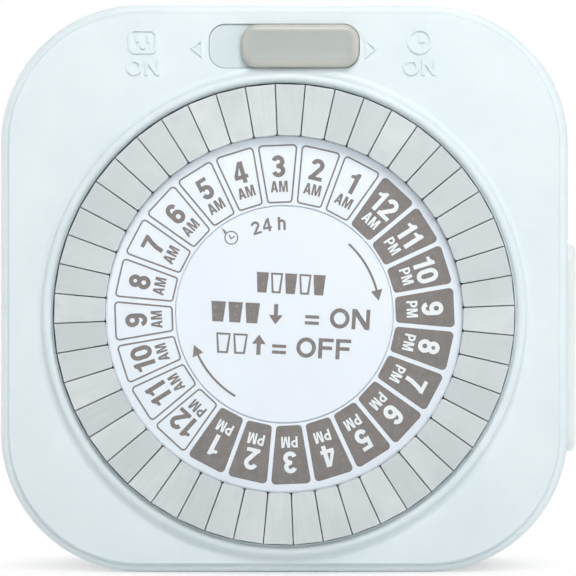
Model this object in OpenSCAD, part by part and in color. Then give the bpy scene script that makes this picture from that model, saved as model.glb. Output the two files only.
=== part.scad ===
// Mechanical 24 hour timer switch that plugs into a wall socket, with a socket on its right-hand side.
// The wall face of the case is the plane y = 0, and the dial faces -Y. The origin is midway between
// the line and neutral blades. Every piece is drawn lying on its back, with x to the right, y up the
// face and h towards the front, all from the centre of the wall face, and is then stood up.

/* [Case] */
// Width and height of the square case
case_w = 70; // [69:0.5:76]
// Depth of the case, from the wall face to the front plateau
case_depth = 38; // [37:0.5:44]
// Radius of the four corners, seen from the front
case_corner_r = 17.2; // [15:0.2:18]
// Thickness of the case's walls
wall = 2; // [1.6:0.1:2.2]
// Depth of the front shell, from its joint to the plateau
front_depth = 12; // [12:0.5:14]
// Rounding of the rear shell's wall-side edge
rear_edge_r = 1.5; // [0.8:0.1:1.8]
// Rounding of the front shell's outer shoulder
shoulder_r = 0.8; // [0.4:0.1:1]
// Height of the plateau above the shoulder
plateau_step = 0.6; // [0.3:0.1:1]
// Distance from the case's side to the plateau
plateau_inset = 0.95; // [0.9:0.05:1.5]
// Radius of the posts that take the case screws
boss_r = 2.6; // [2.3:0.1:2.8]
// Distance of each case screw from the sides of the case
screw_inset = 9.5; // [9:0.1:10]

/* [Dial] */
// Distance of the dial's axis below the centre of the case
dial_drop = 3.2; // [3:0.1:3.5]
// Distance from the dial's collar to the bottom of the case
dial_margin = 1.99; // [1.8:0.01:3]
// Width of the printed hour ring
ring_w = 8.55; // [7:0.05:9]
// Gap between the hour ring and the pins
ring_gap = 0.15; // [0.1:0.05:0.5]
// Gap between the dial's drum and the pins
drum_gap = 0.3; // [0.25:0.05:0.5]
// Thickness of the hour ring and of the centre disc
label_t = 1; // [0.8:0.1:1.2]
// Radius of the post that the dial turns on
post_r = 4; // [3:0.1:6]
// Wall of the dial's hub
hub_wall = 3; // [2:0.1:4]
// Wall of the dial's drum
drum_wall = 1.3; // [1:0.1:1.6]
// Thickness of the web that carries the hour ring
web_t = 1.5; // [1:0.1:2]
// Thickness of the slotted flange that carries the pins
flange_t = 2; // [1.6:0.1:2.4]

/* [Pins] */
// Number of pins, one for each half hour
pin_count = 48; // [48]
// Gap between the pins' outer corners and the collar
pin_gap = 0.25; // [0.15:0.05:0.4]
// Length of a pin's head along the radius
pin_length = 6.25; // [6:0.05:6.3]
// Width of the slit between two heads
pin_slit = 0.12; // [0.1:0.01:0.5]
// Thickness of a head
pin_head_t = 4; // [3.5:0.1:4.5]
// Height of the raised heads above the plateau
pin_proud = 2; // [1.5:0.1:2.5]
// Distance that a pin moves when it is pushed down
pin_travel = 3; // [2.5:0.1:3]
// Thickness of a pin's stem
stem_t = 1.6; // [1.2:0.1:1.7]
// Height of the hook at the foot of a pin
hook_t = 1.5; // [1:0.1:1.6]

/* [Collar] */
// Width of the raised collar round the pins
collar_w = 1.25; // [1:0.05:1.4]
// Height of the collar above the plateau
collar_rise = 1.2; // [0.8:0.1:1.6]
// Width of the collar's foot on the plateau
collar_foot = 0.8; // [0.5:0.05:1]

/* [Override slide] */
// Length of the slide button
slide_l = 14.5; // [13:0.5:15]
// Width of the slide button
slide_w = 5.3; // [5:0.1:5.4]
// Radius of the button's corners
slide_corner_r = 1.9; // [1:0.1:2.2]
// Rounding of the button's upper edge
slide_edge_r = 0.7; // [0.4:0.1:0.7]
// Distance from the button's side to the dish in its top
slide_rim = 0.8; // [0.75:0.05:0.9]
// Depth of the dish that the finger rests in
slide_dish = 0.15; // [0.1:0.05:0.3]
// Distance that the slide moves
slide_travel = 3.9; // [3.5:0.1:4.2]
// Height of the button above the plateau
slide_proud = 1.3; // [0.8:0.1:2]
// Gap between the dial's collar and the button
slide_gap = 0.6; // [0.5:0.05:0.7]
// Depth of the recess that the button runs in
recess_depth = 1.2; // [1:0.1:1.4]

/* [Outlet] */
// Height of the outlet's face plate, along the side of the case
outlet_l = 26.5; // [25:0.5:27]
// Width of the outlet's face plate, from back to front
outlet_w = 23; // [22.5:0.5:23.5]
// Distance that the face plate stands out from the case
outlet_proud = 1.6; // [1.4:0.1:2.5]
// Distance of the face plate's lower end above the bottom of the case
outlet_low = 14.42; // [14.2:0.02:15]
// Depth of the outlet's block behind the side of the case
block_depth = 17; // [16.5:0.1:17.5]
// Radius of the earth hole
earth_hole_r = 2.55; // [2.5:0.05:2.7]

/* [Blades] */
// Distance between the line and neutral blades
blade_pitch = 12.7; // [12.7]
// Thickness of the flat blades
blade_t = 1.52; // [1.4:0.01:1.6]
// Width of the line blade
line_w = 6.35; // [6.2:0.05:6.5]
// Width of the neutral blade
neutral_w = 7.9; // [7.5:0.1:8]
// Length of the flat blades outside the case
blade_l = 16; // [15.5:0.1:18]
// Radius of the earth pin
earth_r = 2.375; // [2.3:0.005:2.4]
// Distance of the earth pin below the blades
earth_drop = 11.9; // [11.9]
// Length of the earth pin outside the case
earth_l = 20; // [18:0.5:22]
// Height of the blades' row above the centre of the case
blade_rise = 4; // [3.8:0.1:4.4]

/* [Gear train] */
// Thickness of the drum behind the ring gear's teeth
gear_rim = 2.95; // [2.5:0.01:3.2]
// Teeth of the ring gear
ring_teeth = 60; // [60]
// Teeth of the drive pinion
pinion_teeth = 12; // [12]
// Tooth module of the reduction wheels
train_module = 0.35; // [0.35]
// Teeth of the clutch wheel
clutch_teeth = 60; // [60]
// Teeth of the idler's pinion
idler_pinion_teeth = 10; // [10]
// Teeth of the idler's wheel
idler_wheel_teeth = 48; // [48]
// Teeth of the motor's output pinion
output_teeth = 8; // [8]
// Play between the flanks of two meshed teeth
backlash = 0.12; // [0.08:0.01:0.16]
// Thickness of the reduction wheels
wheel_t = 1.4; // [1:0.1:1.5]
// Radius of the drive pinion's shaft
shaft_r = 1; // [0.8:0.05:1.1]
// Thickness of the movement plate
plate_t = 1.5; // [1.2:0.1:1.8]
// Thickness of the gear bridge
bridge_t = 1.2; // [1:0.1:1.5]

/* [Motor] */
// Gap between the motor and the post of the screw beside it
motor_gap = 0.4; // [0.3:0.05:1]
// Gap between the motor and the wall of the case behind it
motor_lift = 1; // [0.8:0.1:2]
// Thickness of the can's sheet
can_t = 0.8; // [0.6:0.1:1]
// Radius of the rotor's magnet
rotor_r = 5; // [4:0.1:5.5]

/* [Switch] */
// Distance of the lever's nub from the pins' inner ends
nub_in = 3; // [2.5:0.1:3.5]
// Radius of the nub
nub_tip_r = 1.2; // [1:0.05:1.3]
// Angle that a pressed pin turns the lever through
lever_swing = 13.75; // [13.75]
// Thickness of the lever
lever_t = 2.5; // [2:0.1:2.8]
// Width of the lever
lever_w = 5; // [4:0.1:5.4]
// Radius of the lever's axle
axle_r = 0.8; // [0.7:0.05:1]
// Distance between the two contacts that the lever bridges
contact_pitch = 6.4; // [6:0.1:7]
// Thickness of the brass straps
strap_t = 0.8; // [0.6:0.1:1]
// Width of the brass straps
strap_w = 2.4; // [2:0.1:2.6]
// Radius of the posts that the straps rest on
strap_post_r = 1.6; // [1.4:0.1:1.8]
// Distance from the middle of the case to the bend in the earth strap
earth_bend = 9; // [8.5:0.1:9.5]
// Height of the neutral strap's run above the blades
neutral_run = 7; // [6.5:0.1:7.5]
// Distance between the load strap's run and the neutral strap's
run_pitch = 4; // [3.6:0.1:4.4]
// Radius of the wire of the return spring
wire_r = 0.25; // [0.2:0.01:0.3]
// Turns of the return spring
spring_turns = 5; // [4:1:6]

/* [Fits] */
// Gap round a piece that turns or swings on a pin
running = 0.06; // [0.04:0.01:0.1]
// Gap round a piece that slides or drops into its place
clearance = 0.1; // [0.08:0.01:0.15]
// Gap under a lifted piece that only closes when it moves
lift_gap = 0.3; // [0.2:0.05:0.35]

/* [Hidden] */
$fn = 64;
case_white = "#e6eff1";
insert_cream = "#e9ece4";
pin_grey = "#d0d3d2";
slide_taupe = "#bab9b3";
label_white = "#f0f4f8";
nylon = "#e8e6dc";
brass = "#c9a44f";
nickel = "#c3c2bb";
steel = "#a7abad";
copper = "#b4703d";
silver = "#d5d6d4";
ferrite = "#4a4a4c";

// Heights, from the front plateau back through the movement
case_cy = -blade_rise;
split_h = case_depth - front_depth;
face_h = case_depth - wall;
half_w = case_w / 2;
screw_offset = half_w - screw_inset;
disc_h = case_depth - 0.45;
ring_h = case_depth - 0.6;
web_h = ring_h - web_t;
head_h = case_depth + pin_proud - pin_head_t;
flange_top = head_h - pin_travel - 0.2;
flange_h = flange_top - flange_t;
foot_h = flange_h - lift_gap - hook_t;
plate_top = foot_h - pin_travel - lift_gap;
plate_h = plate_top - plate_t;
hub_h = plate_top + 1.1;
gear_t = 3;
gear_h = plate_top + 1.9;
clutch_h = plate_h - 1.4 - wheel_t;
idler_wheel_h = plate_h - 4.6 - wheel_t;
output_h = idler_wheel_h - 0.3;
bridge_h = idler_wheel_h - 2.2 - bridge_t;
can_h = wall + motor_lift;
motor_h = bridge_h - can_t - can_h;
coil_h = motor_h - 5;

// Dial, pins and collar
dial_cy = -dial_drop;
pin_pitch = 360 / pin_count;
collar_out_r = half_w - dial_drop - dial_margin;
collar_r = collar_out_r - collar_w;
pin_outer_r = (collar_r - pin_gap) * cos(pin_pitch / 2);
pin_inner_r = pin_outer_r - pin_length;
ring_r = pin_inner_r - ring_gap;
disc_r = ring_r - ring_w;
drum_r = pin_inner_r - drum_gap;
skirt_h = flange_top + 0.2;
stem_in = 1;
stem_out = pin_length - 1.3;
pin_notch = 0.15;
hook_reach = 0.7;

// Override slide
slide_y = dial_cy + collar_out_r + slide_gap + slide_w / 2;
slide_x = slide_travel / 2;
slide_stem_l = 4;
slide_stem_w = 2.2;
slide_end_gap = 0.1;
recess_l = slide_l + slide_travel + 2 * slide_end_gap;
recess_w = slide_w + 2 * clearance;
recess_h = case_depth - recess_depth;
pad_h = recess_h - 1.2;
carrier_t = 1.2;
carrier_l = 10;
carrier_h = pad_h - 1.2 - carrier_t;
clip_t = 0.5;
clip_l = 9;
clip_h = carrier_h - 2.2;

// Outlet, whose block fills the case wall's notch
outlet_y = outlet_low + outlet_l / 2 - half_w;
outlet_h = (wall + plate_h) / 2 + 0.4;
slot_y = outlet_y + 5;
earth_y = slot_y - earth_drop;
block_x = half_w - block_depth;
block_low = case_corner_r - half_w - 2.2;
block_high = outlet_y + outlet_l / 2;
block_end = half_w - wall - 0.3;
block_top = plate_h - 0.3;
neck_l = outlet_l - 2;
neck_h = max(wall + 1, outlet_h - outlet_w / 2 + 1);
neck_top = outlet_h + outlet_w / 2 - 1.1;
socket_x = half_w - wall;
leaf_gap = 0.9;
leaf_t = 0.6;
leaf_flare = 0.5;
cavity = leaf_gap + leaf_t + leaf_flare + clearance;
base_x = block_x;

// Gear train, laid out from the dial's axis to the motor
drive_angle = 200;
idler_angle = -60;
output_angle = 200;
pressure_angle = 20;
ring_module = (drum_r - gear_rim) / (ring_teeth / 2 + 1.25);
drive_at = [0, dial_cy] + polar(ring_module * (ring_teeth - pinion_teeth) / 2, drive_angle);
idler_at = drive_at + polar(train_module * (clutch_teeth + idler_pinion_teeth) / 2, idler_angle);
output_at = idler_at + polar(train_module * (idler_wheel_teeth + output_teeth) / 2, output_angle);
motor_at = output_at + [2.9, 6.5];
motor_r = norm(motor_at + [screw_offset, screw_offset]) - boss_r - 0.6 - motor_gap;
pillar_r = 2;
pillars = [[7.5 - half_w, -3], [8.5 - half_w, 18 - half_w], [4.8, -11]];
plate_posts = [[half_w - 11, half_w - 15.5], [6 - half_w, 6], [12, 7 - half_w], [10 - half_w, half_w - 20]];

// Switch lever, its contacts and the straps
nub_angle = 90 - 324;
nub_r = pin_inner_r + nub_in;
nub_at = [0, dial_cy] + polar(nub_r, nub_angle);
nub_top = foot_h - lift_gap;
lever_x = nub_at[0];
lever_h = plate_h - 2.2 - lever_t;
axle_h = lever_h + lever_t / 2;
axle_y = nub_at[1] + 12.3;
lever_hub_r = axle_r + 1.2;
axle_l = lever_w + 7;
cheek_t = 1.6;
cheek_x = lever_w / 2 + 0.9;
contact_y = axle_y - 8.8;
rivet_r = 1;
rivet_t = 0.6;
bar_t = 0.4;
yoke_t = 0.6;
rivet_h = lever_h - yoke_t - bar_t - rivet_t;
fixed_y = axle_y - 7.9;
fixed_top = axle_h - (axle_h - rivet_h) * cos(lever_swing) - (axle_y - contact_y + rivet_r) * sin(lever_swing) - 0.15;
strap_h = fixed_top - rivet_t - strap_t;
spring_r = 1.4;
spring_y = nub_at[1] - 0.4;
spring_seat = strap_h - 2;
leg_y = slide_y + 0.4;
pad_w = 2;
bypass_t = 0.6;
bypass_h = clip_h - clearance - bypass_t;
bypass_line_x = 0;
bypass_load_x = -6.3;
bypass_load_w = 2.9;
load_run_y = fixed_y + 2.6;
load_run_x = block_x - 2.8;
neutral_strap_h = strap_h - 3.7;
neutral_run_y = blade_rise + neutral_run;
neutral_rise_x = load_run_x - run_pitch;
earth_strap_h = wall + 1.5;

// Line and neutral blades
line_x = blade_pitch / 2;
neutral_x = -blade_pitch / 2;
blade_y = blade_rise;
earth_at = [0, blade_rise - earth_drop];
ear = 1.2;
ear_t = 1.5;
blade_root = wall + 4;
detent_r = 1.6;
earth_collar = 0.3;
detent_h = -11.7;

HOURS = [for (n = [1:24]) n];
PIN_NODES = [for (n = HOURS) str("pins_", hour_name(n))];

function polar(r, a) = [r * cos(a), r * sin(a)];

// Two digits and am or pm, for hour n of the day from 1 to 24
function hour_name(n) =
    let (h = n > 12 ? n - 12 : n)
    str(h < 10 ? "0" : "", h, n < 12 || n == 24 ? "am" : "pm");

// Direction of the pair of pins that switches hour n; the numbers run anticlockwise
function hour_direction(n) = 90 - (-2.25 + (3 - n) * 15);

// Points [inset, height] of a rounded upper edge
function round_over(r, top, inset = 0, steps = 5) =
    [for (i = [0:steps]) [inset + r * (1 - cos(90 * i / steps)), top - r + r * sin(90 * i / steps)]];

// Points [inset, height] of a rounded lower edge
function round_under(r, bottom, steps = 5) =
    [for (i = [0:steps]) [r * (1 - sin(90 * i / steps)), bottom + r - r * cos(90 * i / steps)]];

// Angle, in degrees, of an involute at radius r from its base circle
function involute(base, r) = r <= base ? 0 : sqrt(pow(r / base, 2) - 1) * 180 / PI - acos(base / r);

// Outline of a gear with involute flanks and one tooth's middle on the x axis
function gear_outline(teeth, m, tip, root, slack) =
    let (
        pitch_r = m * teeth / 2,
        base = pitch_r * cos(pressure_angle),
        mid = 90 / teeth + involute(base, pitch_r) - slack / pitch_r * 90 / PI,
        radii = [for (i = [0:3]) pitch_r - root * m + (tip + root) * m * i / 3],
        half = [for (r = radii) mid - involute(base, r)]
    )
    [for (t = [0:teeth - 1], i = [0:7])
        polar(radii[i < 4 ? i : 7 - i], t * 360 / teeth + (i < 4 ? -half[i] : half[7 - i]))];

module in_case() { rotate([90, 0, 0]) translate([0, case_cy, 0]) children(); }

module on_dial() { in_case() translate([0, dial_cy, 0]) children(); }

// Box between two corners
module span(from, to) { translate(from) cube(to - from); }

// Plate with rounded corners, whose side follows a list of [inset, height] points from the bottom up
module rounded_slab(w, d, r, edge) {
    bottom = edge[0][1];
    top = edge[len(edge) - 1][1];
    profile = concat([[0, bottom]], [for (p = edge) [r - p[0], p[1]]], [[0, top]]);
    for (k = [0:3], x = (k == 0 || k == 3 ? 1 : -1) * (w / 2 - r), y = (k < 2 ? 1 : -1) * (d / 2 - r))
        translate([x, y, 0]) rotate(90 * k) rotate_extrude(angle = 90) polygon(profile);
    for (s = [0, 180]) {
        rotate(s) translate([w / 2 - r, d / 2 - r, 0]) rotate([90, 0, 0])
            linear_extrude(d - 2 * r) polygon(profile);
        rotate(s) translate([-w / 2 + r, d / 2 - r, 0]) rotate([90, 0, 90])
            linear_extrude(w - 2 * r) polygon(profile);
    }
    span([r - w / 2, r - d / 2, bottom], [w / 2 - r, d / 2 - r, top]);
}

module plain_slab(w, d, r, from, to) { rounded_slab(w, d, r, [[0, from], [0, to]]); }

module at_screws() {
    for (x = [-1, 1], y = [-1, 1]) translate([x * screw_offset, y * screw_offset, 0]) children();
}

module tube(outer, inner, from, to) {
    translate([0, 0, from]) difference() {
        cylinder(r = outer, h = to - from);
        translate([0, 0, -1]) cylinder(r = inner, h = to - from + 2);
    }
}

module disc(r, from, to) { translate([0, 0, from]) cylinder(r = r, h = to - from); }

module gear(teeth, m, tip, root, slack, from, to) {
    translate([0, 0, from]) linear_extrude(to - from) polygon(gear_outline(teeth, m, tip, root, slack));
}

// ---- Case ----

module dial_collar() {
    crest = case_depth + collar_rise - collar_w / 2;
    rotate_extrude() polygon(concat(
        [[collar_r, skirt_h], [collar_out_r - 0.05, skirt_h], [collar_out_r - 0.05, face_h + wall / 2],
         [collar_out_r + collar_foot, face_h + wall / 2], [collar_out_r + collar_foot, case_depth],
         [collar_out_r + collar_foot / 2, case_depth + 0.08], [collar_out_r + 0.1, case_depth + 0.3]],
        [for (i = [0:8]) [collar_r + collar_w / 2, crest] + polar(collar_w / 2, i * 22.5)]));
}

module slide_cutouts() {
    translate([0, slide_y, 0]) {
        plain_slab(recess_l, recess_w, slide_corner_r + clearance, recess_h, case_depth + 5);
        reach = (slide_stem_l + slide_travel) / 2 + slide_end_gap + 0.1;
        span([-reach, -slide_stem_w / 2 - clearance, pad_h - 1],
             [reach, slide_stem_w / 2 + clearance, case_depth]);
    }
}

module front_cover() {
    lip_out = wall + clearance;
    lip_in = wall + 1;
    color(case_white) in_case() difference() {
        union() {
            difference() {
                rounded_slab(case_w, case_w, case_corner_r, concat([[0, split_h]],
                    round_over(shoulder_r, case_depth - plateau_step),
                    [[plateau_inset, case_depth - plateau_step], [plateau_inset + 0.05, case_depth - 0.2],
                     [plateau_inset + 0.2, case_depth]]));
                plain_slab(case_w - 2 * wall, case_w - 2 * wall, case_corner_r - wall, split_h - 1, face_h);
                translate([0, dial_cy, 0]) disc(collar_r + collar_w / 2, face_h - 1, case_depth + 1);
            }
            translate([0, dial_cy, 0]) dial_collar();
            difference() {
                rounded_slab(case_w, case_w, case_corner_r,
                             [[lip_out, split_h - 1.4], [lip_out, split_h], [wall / 2, split_h],
                              [wall / 2, split_h + 1]]);
                plain_slab(case_w - 2 * lip_in, case_w - 2 * lip_in, case_corner_r - lip_in,
                           split_h - 2, split_h + 2);
            }
            at_screws() disc(boss_r, split_h, case_depth - wall / 2);
            translate([0, slide_y, 0])
                span([-recess_l / 2 - 1, -recess_w / 2 + 0.4, pad_h], [recess_l / 2 + 1, recess_w / 2, face_h + 0.5]);
            span([socket_x + 0.05, outlet_y - neck_l / 2 + clearance, neck_top + clearance],
                 [half_w - 0.05, outlet_y + neck_l / 2 - clearance, split_h + 1]);
        }
        slide_cutouts();
        at_screws() disc(1, split_h - 1, face_h - 2);
    }
}

// Pocket that holds a blade's ears against the rear shell's floor
module blade_pocket(w) {
    difference() {
        span([-2.2, -w / 2 - ear - 1.2, wall / 2], [2.2, w / 2 + ear + 1.2, wall + 3]);
        span([-blade_t / 2 - clearance, -w / 2 - ear - clearance, wall],
             [blade_t / 2 + clearance, w / 2 + ear + clearance, wall + 4]);
    }
}

module rear_case() {
    color(case_white) in_case() difference() {
        union() {
            difference() {
                rounded_slab(case_w, case_w, case_corner_r,
                             concat(round_under(rear_edge_r, 0), [[0, split_h]]));
                plain_slab(case_w - 2 * wall, case_w - 2 * wall, case_corner_r - wall, wall, split_h + 1);
            }
            at_screws() { disc(boss_r, wall / 2, split_h); disc(boss_r + 0.6, wall / 2, 8); }
            for (p = plate_posts) translate(p) {
                disc(2, wall / 2, plate_h);
                disc(0.9, plate_h - 1, plate_top - 0.3);
            }
            translate(motor_at) tube(motor_r - 1.8, motor_r - 3, wall / 2, can_h);
            for (s = [-1, 1]) translate([lever_x + s * (cheek_x + cheek_t / 2), axle_y, 0])
                span([-cheek_t / 2, -1.8, wall / 2], [cheek_t / 2, 1.8, axle_h + 1.9]);
            translate([lever_x, spring_y, 0]) {
                disc(2, wall / 2, spring_seat);
                disc(spring_r - wire_r - 0.15, spring_seat - 1, spring_seat + 1.2);
            }
            translate([line_x, blade_y, 0]) blade_pocket(line_w);
            translate([neutral_x, blade_y, 0]) blade_pocket(neutral_w);
            translate([line_x, fixed_y, 0]) disc(strap_post_r, wall / 2, strap_h);
            translate([load_run_x / 2, load_run_y + strap_w / 2, 0]) disc(strap_post_r, wall / 2, strap_h);
            translate([(neutral_x + neutral_rise_x) / 2, neutral_run_y + strap_w / 2, 0])
                disc(strap_post_r, wall / 2, neutral_strap_h);
            translate([earth_bend, earth_at[1], 0]) disc(strap_post_r + 0.2, wall / 2, earth_strap_h);
            span([bypass_load_x - 1, leg_y + bypass_t + clearance, wall / 2],
                 [bypass_line_x + strap_w + 1, half_w - wall / 2, plate_h]);
        }
        at_screws() { disc(2.1, -1, 6); disc(1.2, -1, split_h + 1); }
        translate([line_x, blade_y, 0])
            span([-blade_t / 2 - clearance, -line_w / 2 - clearance, -1],
                 [blade_t / 2 + clearance, line_w / 2 + clearance, wall + 1]);
        translate([neutral_x, blade_y, 0])
            span([-blade_t / 2 - clearance, -neutral_w / 2 - clearance, -1],
                 [blade_t / 2 + clearance, neutral_w / 2 + clearance, wall + 1]);
        translate(earth_at) disc(earth_r + earth_collar + clearance, -1, wall + 1);
        translate([lever_x - axle_l / 2 - 1, axle_y, axle_h]) rotate([0, 90, 0])
            cylinder(r = axle_r + running, h = axle_l + 2);
        span([socket_x - 0.5, outlet_y - neck_l / 2 - clearance, neck_h],
             [half_w + 1, outlet_y + neck_l / 2 + clearance, split_h + 1]);
    }
}

// ---- Outlet ----

// Cavity behind one of the outlet's flat slots, and the slot itself
module outlet_slot(h, length) {
    translate([0, slot_y, h]) {
        span([block_x - 1, -length / 2 - 0.6, -cavity], [socket_x, length / 2 + 0.6, cavity]);
        span([block_x, -length / 2, -1], [half_w + outlet_proud + 1, length / 2, 1]);
    }
}

module outlet_block() {
    neutral_h = outlet_h + blade_pitch / 2;
    line_h = outlet_h - blade_pitch / 2;
    color(insert_cream) in_case() difference() {
        union() {
            span([block_x, block_low, wall], [block_end, block_high, block_top]);
            span([socket_x - 1, outlet_y - neck_l / 2, neck_h], [half_w + 0.5, outlet_y + neck_l / 2, neck_top]);
            translate([half_w + 0.05, outlet_y, outlet_h]) rotate([0, 90, 0])
                rounded_slab(outlet_w, outlet_l, 2.5, concat([[0, 0]], round_over(0.6, outlet_proud - 0.05)));
        }
        outlet_slot(neutral_h, neutral_w + 0.7);
        outlet_slot(line_h, line_w + 0.7);
        translate([block_x - 1, earth_y, outlet_h]) rotate([0, 90, 0]) cylinder(r = 3.6, h = socket_x - block_x + 1);
        translate([block_x, earth_y, outlet_h]) rotate([0, 90, 0]) cylinder(r = earth_hole_r, h = 25);
    }
}

// Folded spring contact: a base across the back and two leaves that a blade enters between
module leaf_contact(h, w) {
    tip = socket_x - base_x - 0.4;
    leaf = [[0, leaf_gap + leaf_t], [tip - 1.5, leaf_gap + leaf_t - 0.2], [tip, leaf_gap + leaf_t + leaf_flare],
            [tip, leaf_gap + leaf_flare], [tip - 1.5, leaf_gap - 0.2], [leaf_t, leaf_gap]];
    translate([base_x, slot_y + w / 2, h]) rotate([90, 0, 0]) linear_extrude(w)
        polygon(concat(leaf, [for (i = [len(leaf) - 1:-1:0]) [leaf[i][0], -leaf[i][1]]]));
}

module outlet_line_contact() {
    color(brass) in_case() leaf_contact(outlet_h - blade_pitch / 2, line_w);
}

module outlet_neutral_contact() {
    color(brass) in_case() leaf_contact(outlet_h + blade_pitch / 2, neutral_w);
}

module outlet_earth_contact() {
    sleeve_l = 10;
    color(brass) in_case() {
        translate([base_x, earth_y, outlet_h]) rotate([0, 90, 0]) {
            difference() {
                tube(earth_hole_r + 0.6, earth_hole_r + 0.05, 0, sleeve_l);
                span([-0.4, 0, 1], [0.4, 5, sleeve_l + 1]);
            }
            disc(earth_hole_r + 0.1, 0, 0.6);
        }
        span([base_x - strap_t, earth_y - strap_w / 2, earth_strap_h],
             [base_x, earth_y + strap_w / 2, outlet_h + 1]);
        span([earth_bend - strap_w / 2, earth_y - strap_w / 2, earth_strap_h],
             [base_x - strap_t / 2, earth_y + strap_w / 2, earth_strap_h + strap_t]);
        span([earth_bend - strap_w / 2, earth_y, earth_strap_h],
             [earth_bend + strap_w / 2, earth_at[1] + strap_w / 2, earth_strap_h + strap_t]);
        difference() {
            union() {
                span([0, earth_at[1] - strap_w / 2, earth_strap_h],
                     [earth_bend, earth_at[1] + strap_w / 2, earth_strap_h + strap_t]);
                translate(earth_at) disc(3.4, earth_strap_h, earth_strap_h + strap_t);
            }
            translate(earth_at) disc(1.25, earth_strap_h - 1, earth_strap_h + 2);
        }
    }
}

// ---- Blades and straps ----

// Flat blade with a chamfered tip, ears that rest on the floor and a tab up to its strap
module blade(w, tab_from, tab_to, tab_h) {
    tip = 1.2;
    side = [[w / 2 - tip, -blade_l], [w / 2, -blade_l + tip * 1.6], [w / 2, wall], [w / 2 + ear, wall],
            [w / 2 + ear, wall + ear_t], [w / 2, wall + ear_t], [w / 2, blade_root]];
    outline = concat(side, [[tab_to, blade_root], [tab_to, tab_h], [tab_from, tab_h], [tab_from, blade_root]],
                     [for (i = [len(side) - 1:-1:0]) [-side[i][0], side[i][1]]]);
    translate([-blade_t / 2, 0, 0]) difference() {
        rotate([90, 0, 90]) linear_extrude(blade_t) polygon(outline);
        translate([-1, 0, detent_h]) rotate([0, 90, 0]) cylinder(r = detent_r, h = blade_t + 2);
    }
}

module line_blade() {
    color(nickel) in_case() translate([line_x, blade_y, 0]) blade(line_w, 0, strap_w, strap_h);
}

module neutral_blade() {
    color(nickel) in_case() translate([neutral_x, blade_y, 0]) blade(neutral_w, 0, strap_w, neutral_strap_h);
}

module earth_pin() {
    color(nickel) in_case() translate(earth_at) rotate_extrude() polygon(concat(
        [[0, -earth_l]],
        [for (i = [1:5]) [earth_r * sin(18 * i), -earth_l + earth_r * (1 - cos(18 * i))]],
        [[earth_r, 0], [earth_r + earth_collar, 0], [earth_r + earth_collar, wall], [3.4, wall],
         [3.4, earth_strap_h], [1.2, earth_strap_h],
         [1.2, earth_strap_h + strap_t + 0.6], [0, earth_strap_h + strap_t + 0.6]]));
}

module line_strap() {
    color(brass) in_case() {
        span([line_x - 1.4, blade_y - 1, strap_h], [line_x + 1.4, fixed_y + strap_w / 2, strap_h + strap_t]);
        span([lever_x + contact_pitch / 2 - 1.2, fixed_y - strap_w / 2, strap_h],
             [line_x + 1.4, fixed_y + strap_w / 2, strap_h + strap_t]);
    }
}

module load_strap() {
    start_x = lever_x - contact_pitch / 2;
    drop_y = slot_y + 2.4;
    foot_h = outlet_h - blade_pitch / 2 - 1.2;
    color(brass) in_case() {
        span([start_x - 1.2, fixed_y - strap_w / 2, strap_h], [start_x + 1.2, load_run_y + strap_w, strap_h + strap_t]);
        span([start_x - 1.2, load_run_y, strap_h], [load_run_x + strap_w, load_run_y + strap_w, strap_h + strap_t]);
        span([load_run_x, drop_y, strap_h], [load_run_x + strap_w, load_run_y + strap_w, strap_h + strap_t]);
        span([load_run_x, drop_y, foot_h], [load_run_x + strap_w, drop_y + strap_t, strap_h + strap_t]);
        span([load_run_x, drop_y, foot_h], [base_x, drop_y + strap_t, foot_h + strap_w]);
    }
}

module neutral_strap() {
    run_y = neutral_run_y;
    rise_x = neutral_rise_x;
    rise_y = slot_y - 0.4;
    top = outlet_h + blade_pitch / 2 + 1;
    color(brass) in_case() {
        span([neutral_x - 1.4, blade_y - 1, neutral_strap_h],
             [neutral_x + 1.4, run_y + strap_w, neutral_strap_h + strap_t]);
        span([neutral_x - 1.4, run_y, neutral_strap_h], [rise_x + strap_w, run_y + strap_w, neutral_strap_h + strap_t]);
        span([rise_x, rise_y, neutral_strap_h], [rise_x + strap_w, run_y + strap_w, neutral_strap_h + strap_t]);
        span([rise_x, rise_y, neutral_strap_h], [rise_x + strap_w, rise_y + strap_t, top]);
        span([rise_x, rise_y, top - strap_w], [base_x, rise_y + strap_t, top]);
    }
}

// ---- Movement plate and dial ----

module movement_plate() {
    w = case_w - 2 * wall - 3.6;
    d = w - 5.2;
    color(nylon) in_case() {
        difference() {
            translate([0, -2.6, 0]) plain_slab(w, d, 14, plate_h, plate_top);
            at_screws() disc(boss_r + 0.5, plate_h - 1, plate_top + 1);
            for (p = plate_posts) translate(p) disc(1, plate_h - 1, plate_top + 1);
            translate(drive_at) disc(shaft_r + running, plate_h - 1, plate_top + 1);
            translate(idler_at) disc(axle_r + 0.02, plate_h - 1, plate_top + 1);
            span([lever_x - nub_tip_r - 0.7, nub_at[1] - nub_tip_r - 2.4, plate_h - 1],
                 [lever_x + nub_tip_r + 0.7, nub_at[1] + nub_tip_r + 0.7, plate_top + 1]);
        }
        translate([0, dial_cy, 0]) {
            disc(post_r, plate_top - 0.5, disc_h);
            disc(post_r + 2, plate_top - 0.5, hub_h - clearance);
        }
    }
}

module pin_slot() {
    span([pin_inner_r + stem_in - 0.2, -stem_t / 2 - 0.15, flange_h - 1],
         [pin_inner_r + stem_out + 0.2, stem_t / 2 + 0.15, flange_top + 1]);
}

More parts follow.
